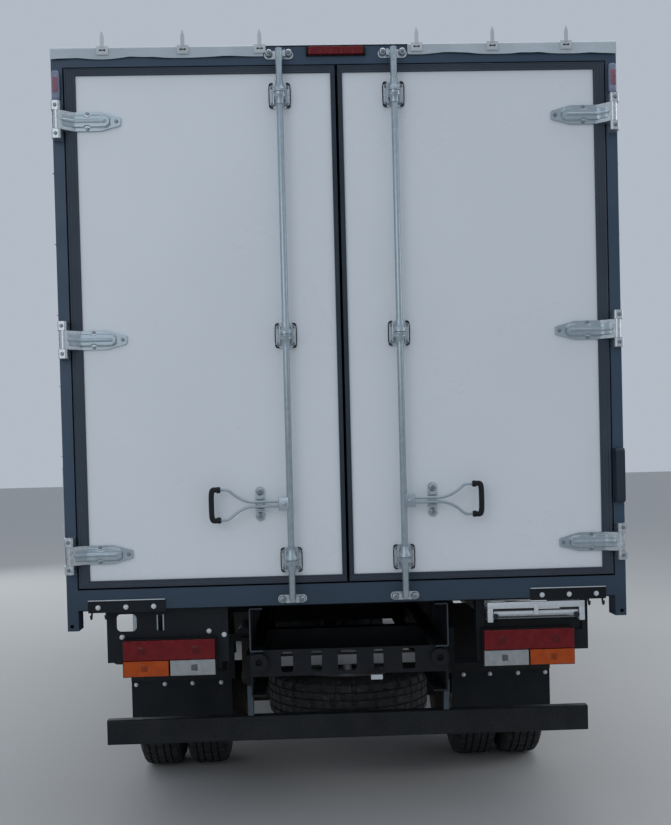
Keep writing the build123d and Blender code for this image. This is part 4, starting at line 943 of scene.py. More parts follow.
def makeRoof(size):
    half, fold, rear, front = size["halfWidth"], size["fold"], size["rear"], size["front"]
    skirt, flap, near = size["skirt"], size["flap"], 0.012
    across = half + skirt + fold * (math.pi / 2 - 1)
    rearEdge, frontEdge = rear - flap, front + skirt
    stations = (-across, -half - near, -half + near, half - near, half + near, across)
    columns = spreads(stations, (0.02, 0.004, 0.018, 0.004, 0.02))
    stations = (rearEdge, rear - near, rear + near, front - near, front + near, frontEdge)
    rows = spreads(stations, (0.008, 0.004, 0.06, 0.004, 0.02))
    middleRow = (rear + front) / 2

    def placed(u, v):
        side = 1 if u > 0 else -1
        x, sideDown = aroundFold(abs(u), half, fold)
        end = 1 if v > middleRow else -1
        y, endDown = aroundFold(abs(v - middleRow), (front - rear) / 2, fold)
        y = middleRow + end * y
        nearEdge = min(1.0, (half - x) / 0.35) * min(1.0, (y - rear) / 0.3) * min(1.0, (front - y) / 0.3)
        between = 0.5 - 0.5 * math.cos(2 * math.pi * (y - size["firstBow"]) / size["bowPitch"])
        wrinkle = 0.0015 * math.sin(9 * x + 3 * y) * math.sin(5 * y - 4 * x)
        z = size["top"] + nearEdge * (wrinkle - size["sag"] * between * (1 - 0.4 * (x / half) ** 2))
        z -= sideDown + endDown
        # the skirts and the flap stand off a little between their ties
        if sideDown > fold:
            x += 0.004 * (0.5 + 0.5 * math.sin(2 * math.pi * v / 0.32 + side)) * min(1.0, sideDown / skirt)
        if endDown > fold and end < 0:
            tie = min(abs(u - place) for place in size["ties"])
            loose = min(1.0, (tie / 0.12) ** 2) * min(1.0, endDown / flap)
            y -= 0.001 + loose * (0.0045 + 0.0025 * math.sin(23 * u) + 0.0015 * math.sin(61 * u + 1))
            lift = 0.0035 + 0.004 * math.sin(4.2 * u - 0.6) - 0.0035 * math.cos(9 * u)
            z += loose * lift * endDown / flap
            z += 0.008 * max(0.0, 1 - abs(u) / half) * endDown / flap
        if endDown > fold and end > 0:
            y += 0.003 * (1 + math.sin(2 * math.pi * u / 0.4)) * min(1.0, endDown / skirt)
        return at(side * x, y, z)

    def kept(u, v):
        inCorner = abs(u) > half and not rear < v < front
        beside = v < rear and abs(u) < size["flapFrom"]
        return not (inCorner or beside or (abs(u) > half and v < size["pillar"]))

    clothSheet("roofTarpaulin", columns, rows, placed, kept, ("tilt_roof",))


makeRoof(roofMeasures)

tieMeasures = {
    "plateHalf": 0.0265, "low": 3.6265, "high": 3.6665, "tail": 0.068, "tailHalf": 0.009, "stand": -0.0125,
    "rivet": 0.0042, "rivetAt": (-0.010, 0.010), "stapleHalf": (0.012, 0.002),
    "cuts": (0.015, 0.04), "tip": (0.12, 0.6, 1),
}


def makeTies(size, places):
    # a riveted plate on the flap at each tie, with the pale tail of the tie standing up
    plates, staples, tails = [], [], []
    low, high, stand = size["low"], size["high"], size["stand"]
    middle = (low + high) / 2
    for place in places:
        x = around(place, size["plateHalf"])
        plates.append(block(x, (stand - 0.002, stand + 0.001), (low, high), 0.006, 3))
        for shift in size["rivetAt"]:
            staples.append(roundBar(size["rivet"], at(place + shift, stand - 0.002, middle), 0.003, "Y", 12))
        wide, tall = size["stapleHalf"]
        staples.append(block(around(place, wide), (stand - 0.0035, stand), around(middle, tall)))
        end = high + size["tail"]
        tail = block(around(place, size["tailHalf"]), (stand - 0.004, stand - 0.001), (high - 0.006, end))
        cutAcross(tail, "Z", [high + cut for cut in size["cuts"]])
        shaped(tail, upwards, resize=size["tip"], about=at(place, stand - 0.002, end))
        tails.append(softened(tail, 0.001, 1))
    mount(plates, "tiePlates", "paleTie")
    mount(staples, "tieStaples", "darkSteel")
    mount(tails, "tieTails", "paleTie")


makeTies(tieMeasures, roofMeasures["ties"])

sideMeasures = {
    "x": 1.2660, "rear": 0.112, "front": 5.699, "low": 1.162, "high": 3.648,
    "hem": 0.07, "hemOut": (0.0035, 0.0065), "pitch": 0.319, "firstEyelet": 0.16, "eyeletZ": 1.20,
    "eyelet": 0.013,
}


def makeSideCloths(size):
    rear, front, low, high, pitch = (size[key] for key in ("rear", "front", "low", "high", "pitch"))
    rows, columns = spreads((low, high), (0.045,)), spreads((rear, front), (0.03,))
    for side, sign in sidesOfTruck:

        def placed(u, v):
            down = (high - v) / (high - low)
            edge = min(1.0, (u - rear) / 0.1, (front - u) / 0.1)
            pull = math.cos(2 * math.pi * (u - rear) / pitch)
            billow = 0.004 * math.sin(1.7 * u + 2.1 * v) * math.sin(2.3 * v - 0.8 * u + (sign < 0))
            out = edge * (0.003 + billow + 0.0045 * down ** 4 * (1 - pull) * 0.5)
            return at(sign * (size["x"] + out), u, v)

        stands = ("tilt_sides",) if side == "Left" else ()
        clothSheet("sideTarpaulin" + side, columns, rows, placed, everywhere, stands)
        # doubled hem with eyelets
        out = spanOn(sign, *(size["x"] + reach for reach in size["hemOut"]))
        hem = block(out, (rear + 0.01, front - 0.01), (low, low + size["hem"]), 0.0012)
        mount(hem, "tarpaulinHem" + side, "tarpaulin")
        eyelets = []
        for index in range(int((front - rear) / pitch)):
            y = rear + size["firstEyelet"] + index * pitch
            place = at(sign * (size["x"] + 0.008), y, size["eyeletZ"])
            eyelets.append(ringAt(place, size["eyelet"], 0.0035, 20, (0, math.pi / 2, 0)))
        mount(eyelets, "eyelets" + side, "zinc")


makeSideCloths(sideMeasures)

cableMeasures = {
    "radius": 0.0042, "x": 1.2805, "y": 0.052, "top": 3.46, "ring": 0.010, "rings": 7, "ringTop": 3.44,
    "ringPitch": 0.32, "foot": (1.2752, 1.2775), "footHalf": (0.014, 0.008),
    # below the top, as (out from the line, back from the line, height)
    "ends": {
        "Left": ((0.0, 0.0, 1.86),) + tuple(
            (0.004 * index / 7, 0.004 + shift, z) for index, (shift, z) in enumerate((
                (0.001, 1.80), (0.010, 1.74), (0.016, 1.68), (0.012, 1.64), (-0.002, 1.632), (-0.010, 1.66),
                (-0.007, 1.72), (0.0, 1.79)))),
        "Right": ((0.0, 0.0, 1.95), (0.003, 0.003, 1.84), (0.006, 0.012, 1.70), (0.001, 0.006, 1.56)),
    },
}


def makeSideCable(size):
    # customs cable down the outside of each pillar, held by staples; on the left it ends in an eye
    for side, sign in sidesOfTruck:
        x, y, end = sign * size["x"], size["y"], size["ends"][side]
        line = [at(x, y, size["top"]), at(x, y, (size["top"] + end[0][2]) / 2)]
        line += [at(x + sign * out, y - back, z) for out, back, z in end]
        mount(roundTube(line, size["radius"]), "tiltCable" + side, "paleTie")
        rings = []
        for index in range(size["rings"]):
            z = size["ringTop"] - index * size["ringPitch"]
            rings.append(ringAt(at(x, y, z), size["ring"], 0.0025, 18))
            wide, tall = size["footHalf"]
            rings.append(block(spanOn(sign, *size["foot"]), around(y, wide), around(z, tall)))
        mount(rings, "cableStaples" + side, "zinc")


makeSideCable(cableMeasures)
print("tarpaulin")


# Rear doors: pressed hinge straps, bar guides, catches, lock bars with their handles, ribbed seals.
# Each is drawn for the right-hand door and mirrored for the left one.

def smoothStep(low, high, value):
    share = min(1.0, max(0.0, (value - low) / (high - low)))
    return share * share * (3 - 2 * share)


def between(stations, place):
    # a value read from (place, value) stations joined by straight lines
    for (near, low), (far, high) in zip(stations, stations[1:]):
        if place <= far:
            return low + (high - low) * max(0.0, place - near) / (far - near)
    return stations[-1][1]


strapMeasures = {
    "tip": 0.970, "length": 0.254, "heights": (1.391, 2.357, 3.332), "flange": 0.0108, "channel": 0.0195,
    "channelHalf": 0.026, "channelFrom": 0.046, "ridge": 0.0035, "ridgeHalf": 0.0055, "ridgeFrom": 0.07,
    "climbFrom": 0.2, "climb": 0.029, "dimple": 0.147, "dimpleAt": 0.033, "dimpleRadius": 0.013,
    "edge": 0.0015,
    "outline": ((0.0, 0.0145), (0.006, 0.0195), (0.088, 0.0420), (0.120, 0.0425), (0.254, 0.0425)),
    "bolts": ((0.019, 0.0), (0.147, 0.033), (0.147, -0.033)), "earBolts": (1.2505, -0.0595, 0.0625),
}


def strapDepth(size, along, rise):
    # how far the pressed strap stands off the door, at a place along it and a rise from its middle line
    rounding = size["channelHalf"]
    into = min(1.0, max(0.0, (along - size["channelFrom"]) / rounding))
    half = rounding * math.sqrt(max(0.0, 1 - (1 - into) ** 2))
    inChannel = smoothStep(half + 0.004, half - 0.003, abs(rise)) if half > 0.004 else 0.0
    for sign in (-1, 1):
        reach = math.hypot(along - size["dimple"], rise - sign * size["dimpleAt"])
        inChannel *= smoothStep(*around(size["dimpleRadius"], 0.003), reach)
    depth = size["flange"] + (size["channel"] - size["flange"]) * inChannel
    ridge = smoothStep(size["ridgeHalf"] + 0.003, size["ridgeHalf"] - 0.003, abs(rise))
    ridge *= smoothStep(size["ridgeFrom"] - 0.008, size["ridgeFrom"] + 0.006, along)
    climb = size["climb"] * smoothStep(size["climbFrom"], size["length"], along) ** 1.2
    return depth + size["ridge"] * ridge + climb


def makeStraps(size):
    straps, onDoor, onPillar = [], [], []
    columns = [0.0] + spreads((0.0005, size["length"]), (0.005,))
    rows = [-1.0] + spreads((-0.995, 0.995), (0.062,)) + [1.0]
    for height in size["heights"]:

        def placed(u, v):
            half = between(size["outline"], u)
            edge = abs(v) > 0.999 or u == 0.0
            depth = size["edge"] if edge else strapDepth(size, u, v * half)
            return at(size["tip"] + u, -depth, height + v * half)

        straps.append(settle(gridSheet(columns, rows, placed), 40))
        for along, rise in size["bolts"]:
            onDoor.append(at(size["tip"] + along, -strapDepth(size, along, rise), height + rise))
        x, y, rise = size["earBolts"]
        onPillar += [at(x, y, height - rise), at(x, y, height + rise)]
    bothSides(straps, "hingeStrap", "brushedZinc", "rear_door_")
    bothSides(bolts("small", onDoor), "strapBolts", "darkZinc", "rear_door_")
    bothSides(bolts("small", onPillar), "hingeEarBolts", "darkZinc", "root")


makeStraps(strapMeasures)

barMeasures = {
    "x": 0.256, "y": -0.055, "radius": 0.015, "low": 1.166, "high": 3.631, "keepers": (1.165, 3.624),
    "cam": 0.012, "camDepth": 0.043, "camHalf": 0.009, "handle": 1.603, "hub": (0.262, 0.308),
    "hubFold": 0.012,
    "hubY": (-0.018, 0.016), "hubHalf": 0.030, "rod": 0.0062, "rodGap": 0.010, "rodY": -0.004, "knee": 0.446,
    "spread": 0.5, "gripFrom": 0.566, "grip": 0.600, "gripHalf": 0.068, "gripRadius": 0.0125,
    "pin": ((0.0, 0.0), (0.0, 0.009), (0.004, 0.009), (0.006, 0.006), (0.006, 0.0)),
    "pinAt": (0.026, -0.0165),
    "collar": ((0.0, 0.008), (0.0, 0.0145), (0.012, 0.0145), (0.016, 0.008)),
}


def mirroredLine(line):
    # the line followed by its mirror image below the middle
    return line + [(along, -rise) for along, rise in reversed(line[:-1])]


def makeLockBars(size):
    x, y, z = size["x"], size["y"], size["handle"]
    bar = roundBar(size["radius"], at(x, y, (size["low"] + size["high"]) / 2), size["high"] - size["low"])
    pieces = [softened(bar, 0.002)]
    for keeper in size["keepers"]:
        cam = block(around(x, size["cam"]), (y, y + size["camDepth"]), around(keeper, size["camHalf"]))
        shaped(cam, toFront, resize=(0.8, 1, 0.75), about=at(x, y + size["camDepth"], keeper))
        pieces.append(softened(cam, 0.003))
    # the hub is a folded plate about the bar, with a pin through it
    hub = block(size["hub"], [y + part for part in size["hubY"]], around(z, size["hubHalf"]))
    fold = size["hub"][0] + size["hubFold"]
    cutAcross(hub, "X", (fold,))
    shaped(
        hub, lambda centre, normal: abs(normal.y) > 0.9 and centre.x > fold,
        resize=(1, 0.8, 1), about=at(x, y, z))
    aside, behind = size["pinAt"]
    pieces += [softened(hub, 0.004, 3), turned(size["pin"], at(x + aside, y + behind, z))]
    rodY, gripFrom, grip, half = y + size["rodY"], size["gripFrom"], size["grip"], size["gripHalf"]
    gap, knee = size["rodGap"], size["knee"]
    rods = (
        (size["hub"][1] - 0.008, gap), (knee - 0.06, gap), (knee, gap), (size["spread"], half * 0.55),
        (gripFrom - 0.035, half), (gripFrom, half), (grip - 0.006, half),
    )
    for sign in (-1, 1):
        pieces.append(roundTube([at(along, rodY, z + sign * rise) for along, rise in rods], size["rod"]))
    bothSides(pieces, "lockBar", "brushedZinc", "lock_bar_", stands="lock_bar_")
    # moulded black grip in the shape of a C
    line = [(gripFrom, half), (grip - 0.018, half)]
    line += [(grip + 0.003, half + 0.003), (grip + 0.008, half - 0.022)]
    line = mirroredLine(line + [(grip + 0.008, 0.0)])
    hold = [roundTube([at(along, rodY, z + rise) for along, rise in line], size["gripRadius"])]
    hold += [turned(size["collar"], at(gripFrom + 0.004, rodY, z + sign * half), "X") for sign in (-1, 1)]
    bothSides(hold, "handleGrip", "gripRubber", "lock_bar_")


makeLockBars(barMeasures)

guideMeasures = {
    "heights": (1.346, 2.360, 3.435), "wide": 0.046, "tall": 0.0535, "boltAt": (0.037, 0.040),
    "boltY": -0.006, "rim": 0.0034, "rimY": -0.0135,
    "web": (0.020, 0.033), "webDepth": (-0.019, -0.004), "webHalf": 0.044,
    # the sleeve's lower half is the mirror image of this upper half
    "sleeve": ((-0.052, 0.0155), (-0.052, 0.0178), (-0.030, 0.0185), (-0.016, 0.0245), (-0.012, 0.0262)),
    "line": ((-0.0012, 0.0262), (-0.0012, 0.0268), (0.0012, 0.0268), (0.0012, 0.0262)),
    "catch": 0.392, "domeAt": 0.056, "domeY": (-0.005, -0.018),
    "dome": ((0.0, 0.019), (0.006, 0.018), (0.012, 0.012), (0.014, 0.0)),
    "arm": (0.0165, (-0.052, -0.004), (0.020, 0.030)),
    "lobeAt": 0.044, "lobeY": -0.0145, "lobeDepth": 0.0095,
    "lobe": ((0.0, 0.0165), (0.006, 0.0155), (0.010, 0.011), (0.011, 0.0)),
}


def makeGuides(size, bar):
    x, y, wide, tall = bar["x"], bar["y"], size["wide"], size["tall"]
    sleeves, rims, places, catches, lobes, lobeBolts = [], [], [], [], [], []
    profile = size["sleeve"] + tuple((-along, radius) for along, radius in reversed(size["sleeve"]))
    for z in size["heights"]:
        sleeves.append(turned(profile, at(x, y, z), "Z"))
        rims.append(turned(size["line"], at(x, y, z), "Z"))
        # dark bars along both sides of the plate: painted shade in the gaps under its upturned edges
        for sign in (-1, 1):
            line = [(0.030, tall), (wide - 0.004, tall + 0.001)]
            line += [(wide + 0.001, tall - 0.012), (wide + 0.001, 0.0)]
            line = [at(x + sign * out, size["rimY"], z + rise) for out, rise in mirroredLine(line)]
            rims.append(roundTube(line, size["rim"]))
            web = sorted(x + sign * out for out in size["web"])
            sleeves.append(block(web, size["webDepth"], around(z, size["webHalf"]), 0.005, 3))
            out, rise = size["boltAt"]
            places += [at(x + sign * out, size["boltY"], z + shift) for shift in (-rise, rise)]
    # catch: a clamp across an oval plate with a dome at each end
    half, depth, reach = size["arm"]
    for sign in (-1, 1):
        z = bar["handle"] + sign * size["domeAt"]
        catches.append(turned(size["dome"], at(size["catch"], size["domeY"][0], z)))
        places.append(at(size["catch"], size["domeY"][1], z))
        tall = sorted(bar["handle"] + sign * part for part in reach)
        catches.append(block(around(size["catch"], half), depth, tall, 0.004, 3))
    bothSides(sleeves, "guideSleeve", "brushedZinc", "rear_door_")
    bothSides(rims, "guideRim", "darkSteel", "rear_door_")
    bothSides(catches, "handleCatch", "brushedZinc", "rear_door_")
    bothSides(bolts("small", places), "guideBolts", "darkZinc", "rear_door_")
    # keepers on the sill and the header: two cast lobes and a bolt in each
    for z in bar["keepers"]:
        for sign in (-1, 1):
            place = at(x + sign * size["lobeAt"], size["lobeY"], z)
            lobes.append(turned(size["lobe"], place))
            lobeBolts.append(place - Vector((0, size["lobeDepth"], 0)))
    heads = bolts("small", lobeBolts)
    bothSides(lobes, "keeperLobes", "brushedZinc", "root")
    bothSides(heads, "keeperBolts", "darkZinc", "root")


makeGuides(guideMeasures, barMeasures)

sealMeasures = {
    "outer": (0.006, 1.218, 1.240, 3.570), "inner": (0.027, 1.167, 1.273, 3.537),
    # across the seal from its outer lip to the leaf: share of the width, depth towards the rear
    "section": (
        (0.0, -0.058), (0.0, 0.006), (0.06, 0.009), (0.14, 0.010), (0.18, 0.008), (0.26, 0.0074),
        (0.30, 0.009), (0.38, 0.0095), (0.44, 0.0078), (0.52, 0.0073), (0.56, 0.0088), (0.64, 0.0095),
        (0.70, 0.0078), (0.78, 0.0075), (0.83, 0.010), (0.95, 0.0105), (1.0, 0.006), (1.0, -0.058),
    ),
}


def makeSeals(size):
    # one section carried round the leaf with mitred corners
    outer, inner = size["outer"], size["inner"]
    corners = ((0, 2), (1, 2), (1, 3), (0, 3))

    def placed(u, v):
        xIndex, zIndex = corners[int(round(u)) % 4]
        across, depth = size["section"][int(round(v))]
        x = outer[xIndex] + (inner[xIndex] - outer[xIndex]) * across
        z = outer[zIndex] + (inner[zIndex] - outer[zIndex]) * across
        return at(x, -depth, z)

    seal = gridSheet([0, 1, 2, 3, 4], list(range(len(size["section"]))), placed)
    bothSides([smoothed(welded(seal), 50)], "doorSeal", "doorRubber", "rear_door_", stands="door_seal_")


makeSeals(sealMeasures)

flatBolts = {
    "sillBolts": [(sign * x, -0.006, 1.152) for sign in (-1, 1) for x in (0.885, 1.010, 1.135)],
    "bracketBolts": [(-1.042, 0.060, 1.005), (-0.644, 0.060, 1.022), (-0.575, 0.060, 1.004)],
    "flapBolts": [(x, 1.1905, 0.557) for x in (-1.155, -0.995, -0.84, -0.68, 0.69, 0.84, 1.0, 1.155)],
}

for name, places in flatBolts.items():
    smoothed(mount(bolts("large", atAll(places)), name, "paleZinc"), 30)

sillMeasures = {
    "edge": (0.832, 1.180), "edgeY": (-0.010, 0.0), "edgeZ": (1.1815, 1.1855), "hooksAt": (1.10, 1.165),
    "hook": ((0.004, 1.13), (0.0, 1.112), (-0.012, 1.100), (-0.022, 1.108), (-0.024, 1.120)),
    "hookRadius": 0.0045,
}


def makeSillEdges(size):
    # a pale strip along the folded upper edge of each sill plate, a painted highlight on the black plate,
    # with small hooks under its outer end
    edges, hooks = [], []
    for side, sign in sidesOfTruck:
        edges.append(block(spanOn(sign, *size["edge"]), size["edgeY"], size["edgeZ"], 0.0015))
        for x in size["hooksAt"]:
            hooks.append(roundTube([at(sign * x, y, z) for y, z in size["hook"]], size["hookRadius"]))
    mount(edges, "sillEdges", "paleTie")
    mount(hooks, "sillHooks", "darkSteel")


makeSillEdges(sillMeasures)
print("rear doors")


# Wheels: nuts, hub caps and valves

wheelMeasures = {
    "radius": 0.419, "count": 8, "studCircle": 0.1375, "capTurn": 0.2, "valve": 0.004,
    "valveLine": ((0.004, 0.20, 0.02), (0.03, 0.205, 0.02), (0.05, 0.20, 0.02)),
    # body, place along the truck, face of the disc, cap bolts' circle and face, hub's end and its radius
    "axles": {
        "front": ("front_wheel_", 6.25, 1.085, 0.083, 1.115, 1.143, 0.060),
        "rear": ("rear_wheels_", 1.65, 0.927, 0.066, 1.055, 1.055, 0.046),
    },
}


def makeWheelDetails(size):
    radius = size["radius"]
    for axle, (body, y, face, circle, capFace, hubEnd, hub) in size["axles"].items():
        nuts = []
        rings = (("nut", size["studCircle"], face, 0.0), ("small", circle, capFace, size["capTurn"]))
        for kind, ring, x, start in rings:
            angles = [start + 2 * math.pi * index / size["count"] for index in range(size["count"])]
            places = [at(x, y + ring * math.cos(angle), radius + ring * math.sin(angle)) for angle in angles]
            nuts += bolts(kind, places, (math.pi / 2, "Z"))
        rounding = ((0.007, hub * 0.7), (0.008, hub * 0.35), (0.008, 0.0))
        cap = ((0.0, hub - 0.002), (0.004, hub - 0.004), *rounding)
        valve = [at(face + out, y + along, radius + rise) for out, along, rise in size["valveLine"]]
        caps = [turned(cap, at(hubEnd, y, radius), "X"), roundTube(valve, size["valve"])]
        bothSides(nuts, axle + "WheelNuts", "darkZinc", body)
        bothSides(caps, axle + "HubCap", "axleIron", body)


makeWheelDetails(wheelMeasures)


# Chassis: what hangs between the rails, the stowed ladder's tray and the blank tag

edgeMeasures = {
    # pale strips round the rear end of each subframe rail, painted highlights on its web and flanges: rail,
    # return, heights, depth, strip
    "rail": 0.460, "return": 0.398, "low": 0.918, "high": 1.120, "faceY": (0.0585, 0.0615), "strip": 0.005,
    # light faces of the underrun bar's arms: foot, knee, heights and places
    "armX": (0.4595, 0.4865), "armZ": (0.570, 0.722), "armY": (0.2975, 0.3015), "armLean": 0.039,
    # silver straps behind the openings of the left lamp bracket
    "straps": ((-0.992, -0.979), (-0.884, -0.877), (-0.856, -0.849)), "strapY": (0.0675, 0.0715),
    "strapZ": (1.028, 1.112),
}


def makeChassisEdges(size):
    pale, arms = [], []
    # the strips round each rail's end are painted highlights on its edges
    for side, sign in sidesOfTruck:
        upright = spanOn(sign, size["rail"] - size["strip"], size["rail"])
        pale.append(block(upright, size["faceY"], (size["low"], size["high"]), 0.001, 1))
        for z in (size["low"], size["high"] - size["strip"]):
            level = spanOn(sign, size["return"], size["rail"])
            pale.append(block(level, size["faceY"], (z, z + size["strip"]), 0.001, 1))
        arm = block(spanOn(sign, *size["armX"]), size["armY"], size["armZ"])
        for vertex in arm.data.vertices:
            if vertex.co.z > size["armZ"][1] - 0.01:
                vertex.co.y -= size["armLean"]
        arms.append(softened(arm, 0.001, 1))
    mount(pale, "frameEdges", "dullSteel")
    mount(arms, "underrunArmFaces", "dullSteel")
    straps = [block(x, size["strapY"], size["strapZ"], 0.001, 1) for x in size["straps"]]
    mount(straps, "bracketStraps", "brushedZinc")


makeChassisEdges(edgeMeasures)

# name, finish, blocks with their rounding
plates = (
    ("trayBack", "darkZinc", (((0.6595, 1.0565), (0.063, 0.066), (1.0355, 1.063), 0.001, 1),)),
    ("lampShield", "blackPlastic", (((0.594, 1.108), (0.072, 0.076), (0.965, 1.034), 0.0015),)),
    # carries the bearing in the middle of the propeller shaft
    ("bearingCrossMember", "chassisSteel", (
        ((-0.448, 0.448), (4.08, 4.088), (0.375, 0.702), 0.002),
        ((-0.448, 0.448), (4.08, 4.125), (0.694, 0.702), 0.002),
        ((-0.448, 0.448), (4.08, 4.125), (0.375, 0.383), 0.002),
    )),
)

for name, finish, parts in plates:
    mount([block(*part) for part in parts], name, finish)

chassisMeasures = {
    "bearing": ((0.0, 0.050), (0.0, 0.085), (0.012, 0.095), (0.030, 0.095), (0.040, 0.080), (0.040, 0.050)),
    "bearingAt": (0, 4.08, 0.533),
    "tankX": 0.195, "tankY": 3.34, "tankZ": 0.575, "bandsY": (3.36, 3.93),
    "tank": ((-0.68, 0.0), (-0.674, 0.0708), (-0.65, 0.118), (-0.03, 0.118), (-0.006, 0.0708), (0.0, 0.0)),
    "band": ((0.0, 0.118), (0.0, 0.121), (-0.03, 0.121), (-0.03, 0.118)),
    "hanger": ((-0.46, 0.46), 0.03, (0.692, 0.702)),
    "chamber": (
        (0.0, 0.0), (0.0, 0.05), (0.02, 0.078), (0.062, 0.082), (0.066, 0.09), (0.074, 0.09), (0.078, 0.082),
        (0.12, 0.076), (0.13, 0.04), (0.13, 0.0),
    ),
    "chamberAt": (0.335, 1.505, 0.52),
    "tubes": (
        ("rod", 0.014, ((0.335, 1.50, 0.52), (0.335, 1.56, 0.50), (0.335, 1.60, 0.44))),
        ("line", 0.008, ((0.335, 1.40, 0.60), (0.34, 1.36, 0.68), (0.37, 1.45, 0.76), (0.41, 1.7, 0.78))),
        ("line", 0.006, ((0.405, 1.7, 0.78), (0.405, 3.0, 0.78), (0.39, 3.3, 0.74), (0.20, 3.42, 0.69))),
    ),
}


def makeChassisDetails(size):
    mount(turned(size["bearing"], at(*size["bearingAt"]), "Y", 32), "centreBearing", "axleIron")
    tanks, bands, chambers, lines = [], [], [], []
    for sign in (-1, 1):
        tanks.append(turned(size["tank"], at(sign * size["tankX"], size["tankY"], size["tankZ"]), "Y", 32))
        for y in size["bandsY"]:
            bands.append(turned(size["band"], at(sign * size["tankX"], y, size["tankZ"]), "Y", 32))
        x, y, z = size["chamberAt"]
        chambers.append(turned(size["chamber"], at(sign * x, y, z), "Y", 28))
        for kind, radius, line in size["tubes"]:
            tube = roundTube([at(sign * x, y, z) for x, y, z in line], radius)
            (chambers if kind == "rod" else lines).append(tube)
    across, along, tall = size["hanger"]
    bands += [block(across, (y, y + along), tall, 0.002) for y in size["bandsY"]]
    mount(tanks, "airReservoirs", "chassisSteel")
    mount(bands, "reservoirStraps", "darkSteel")
    mount(chambers, "brakeChambers", "axleIron")
    mount(lines, "airLines", "blackPlastic")


makeChassisDetails(chassisMeasures)

trayMeasures = {
    "blocks": (
        ((0.634, 1.083), (0.000, 0.012), (1.092, 1.122), 0.003),
        ((0.634, 0.660), (0.000, 0.012), (1.030, 1.094), 0.004, 3),
        ((1.057, 1.083), (0.000, 0.012), (1.030, 1.094), 0.004, 3),
        ((0.848, 0.868), (-0.004, 0.004), (1.062, 1.112), 0.003, 3),
    ),
    "tread": ((0.664, 1.052), (0.006, 0.060), (1.064, 1.078)), "treadCuts": (0.018, 0.032, 0.046),
    "pivots": ((0.672, 0.006, 1.058), (1.044, 0.006, 1.058)),
    "pivot": ((0.0, 0.013), (0.006, 0.013), (0.008, 0.010), (0.008, 0.0)),
}


def makeLadderTray(size):
    tread = block(*size["tread"])
    cutAcross(tread, "Y", size["treadCuts"])
    shaped(tread, upwards, inset=0.002, single=True, shift=(0, 0, 0.0015))
    tray = [softened(tread, 0.001, 1)] + [block(*part) for part in size["blocks"]]
    mount(tray, "ladderTray", "paleZinc")
    mount([turned(size["pivot"], place) for place in atAll(size["pivots"])], "ladderPivots", "darkSteel")


makeLadderTray(trayMeasures)
blankTag = ((0.096, 0.150), (0.0545, 0.0575), (0.775, 0.797), 0.001, 1)
mount(block(*blankTag), "blankTag", "paleTie")
print("wheels and chassis details")


# Cab: rubber round the panes, wipers, handles, mirror panes, lamps and radiator

def onCab(x, y, z, direction, node="cab_shell"):
    # where a line of sight meets the cab
    outward = 1 if x > 0 else -1
    source, heading = {
        "front": (at(x, 9.0, z), (0, -1, 0)), "rear": (at(x, 5.0, z), (0, 1, 0)),
        "side": (at(2.0 * outward, y, z), (-outward, 0, 0)),
    }[direction]
    found, place, normal, face = nodes[node].ray_cast(source, Vector(heading))
    return (place, normal) if found else (None, None)


def roundedCorners(corners, radius, steps=4):
    # closed outline of (across, up) points whose corners are arcs
    points = []
    corners = [Vector(corner) for corner in corners]
    for index, corner in enumerate(corners):
        before, after = corners[index - 1], corners[(index + 1) % len(corners)]
        start = corner + (before - corner).normalized() * radius
        end = corner + (after - corner).normalized() * radius
        for step in range(steps + 1):
            share = step / steps
            points.append(start.lerp(corner, share).lerp(corner.lerp(end, share), share))
    dense = []
    for index, point in enumerate(points):
        following = points[(index + 1) % len(points)]
        pieces = max(1, int((following - point).length / 0.09))
        dense += [point.lerp(following, step / pieces) for step in range(pieces)]
    return dense


gasketMeasures = {
    "radius": 0.011, "grow": 0.010, "corner": 0.07, "lift": 0.001,
    "screen": ((-0.985, 1.400), (0.985, 1.400), (0.945, 2.270), (-0.945, 2.270)),
    "rearPane": ((-0.480, 1.620), (0.480, 1.620), (0.480, 2.150), (-0.480, 2.150)),
    "doorPane": ((6.125, 1.540), (6.985, 1.480), (6.985, 2.235), (6.125, 2.235)),
}


def makeGasket(size, name, corners, direction, side=0, node="cab_shell", body="cab"):
    middle = sum((Vector(corner) for corner in corners), Vector((0, 0))) / 4
    line = []
    for point in roundedCorners(corners, size["corner"]):
        across, up = point + (point - middle).normalized() * size["grow"]
        x, y = (side, across) if direction == "side" else (across, 0)
        place, normal = onCab(x, y, up, direction, node)
        if place is not None:
            line.append(place + normal * size["lift"])
    mount(roundTube(line, size["radius"], closed=True), name, "gripRubber", body)


makeGasket(gasketMeasures, "screenRubber", gasketMeasures["screen"], "front")
makeGasket(gasketMeasures, "rearPaneRubber", gasketMeasures["rearPane"], "rear")
for side, sign in sidesOfTruck:
    door = "cab_door_" + side.lower()
    makeGasket(gasketMeasures, "doorPaneRubber" + side, gasketMeasures["doorPane"], "side", sign, door, door)

wiperMeasures = {
    "pivots": (-0.78, 0.10), "reach": 0.5704, "foot": 1.355, "rise": (0.02, 0.14), "arm": 0.006,
    "armOff": 0.026, "blade": (0.5432, 0.112), "bladeAt": (-0.05, 0.155), "bladeRadius": 0.0065,
    "bladeOff": 0.010,
    "footProfile": ((0.0, 0.02), (-0.012, 0.02), (-0.02, 0.012), (-0.02, 0.0)),
}


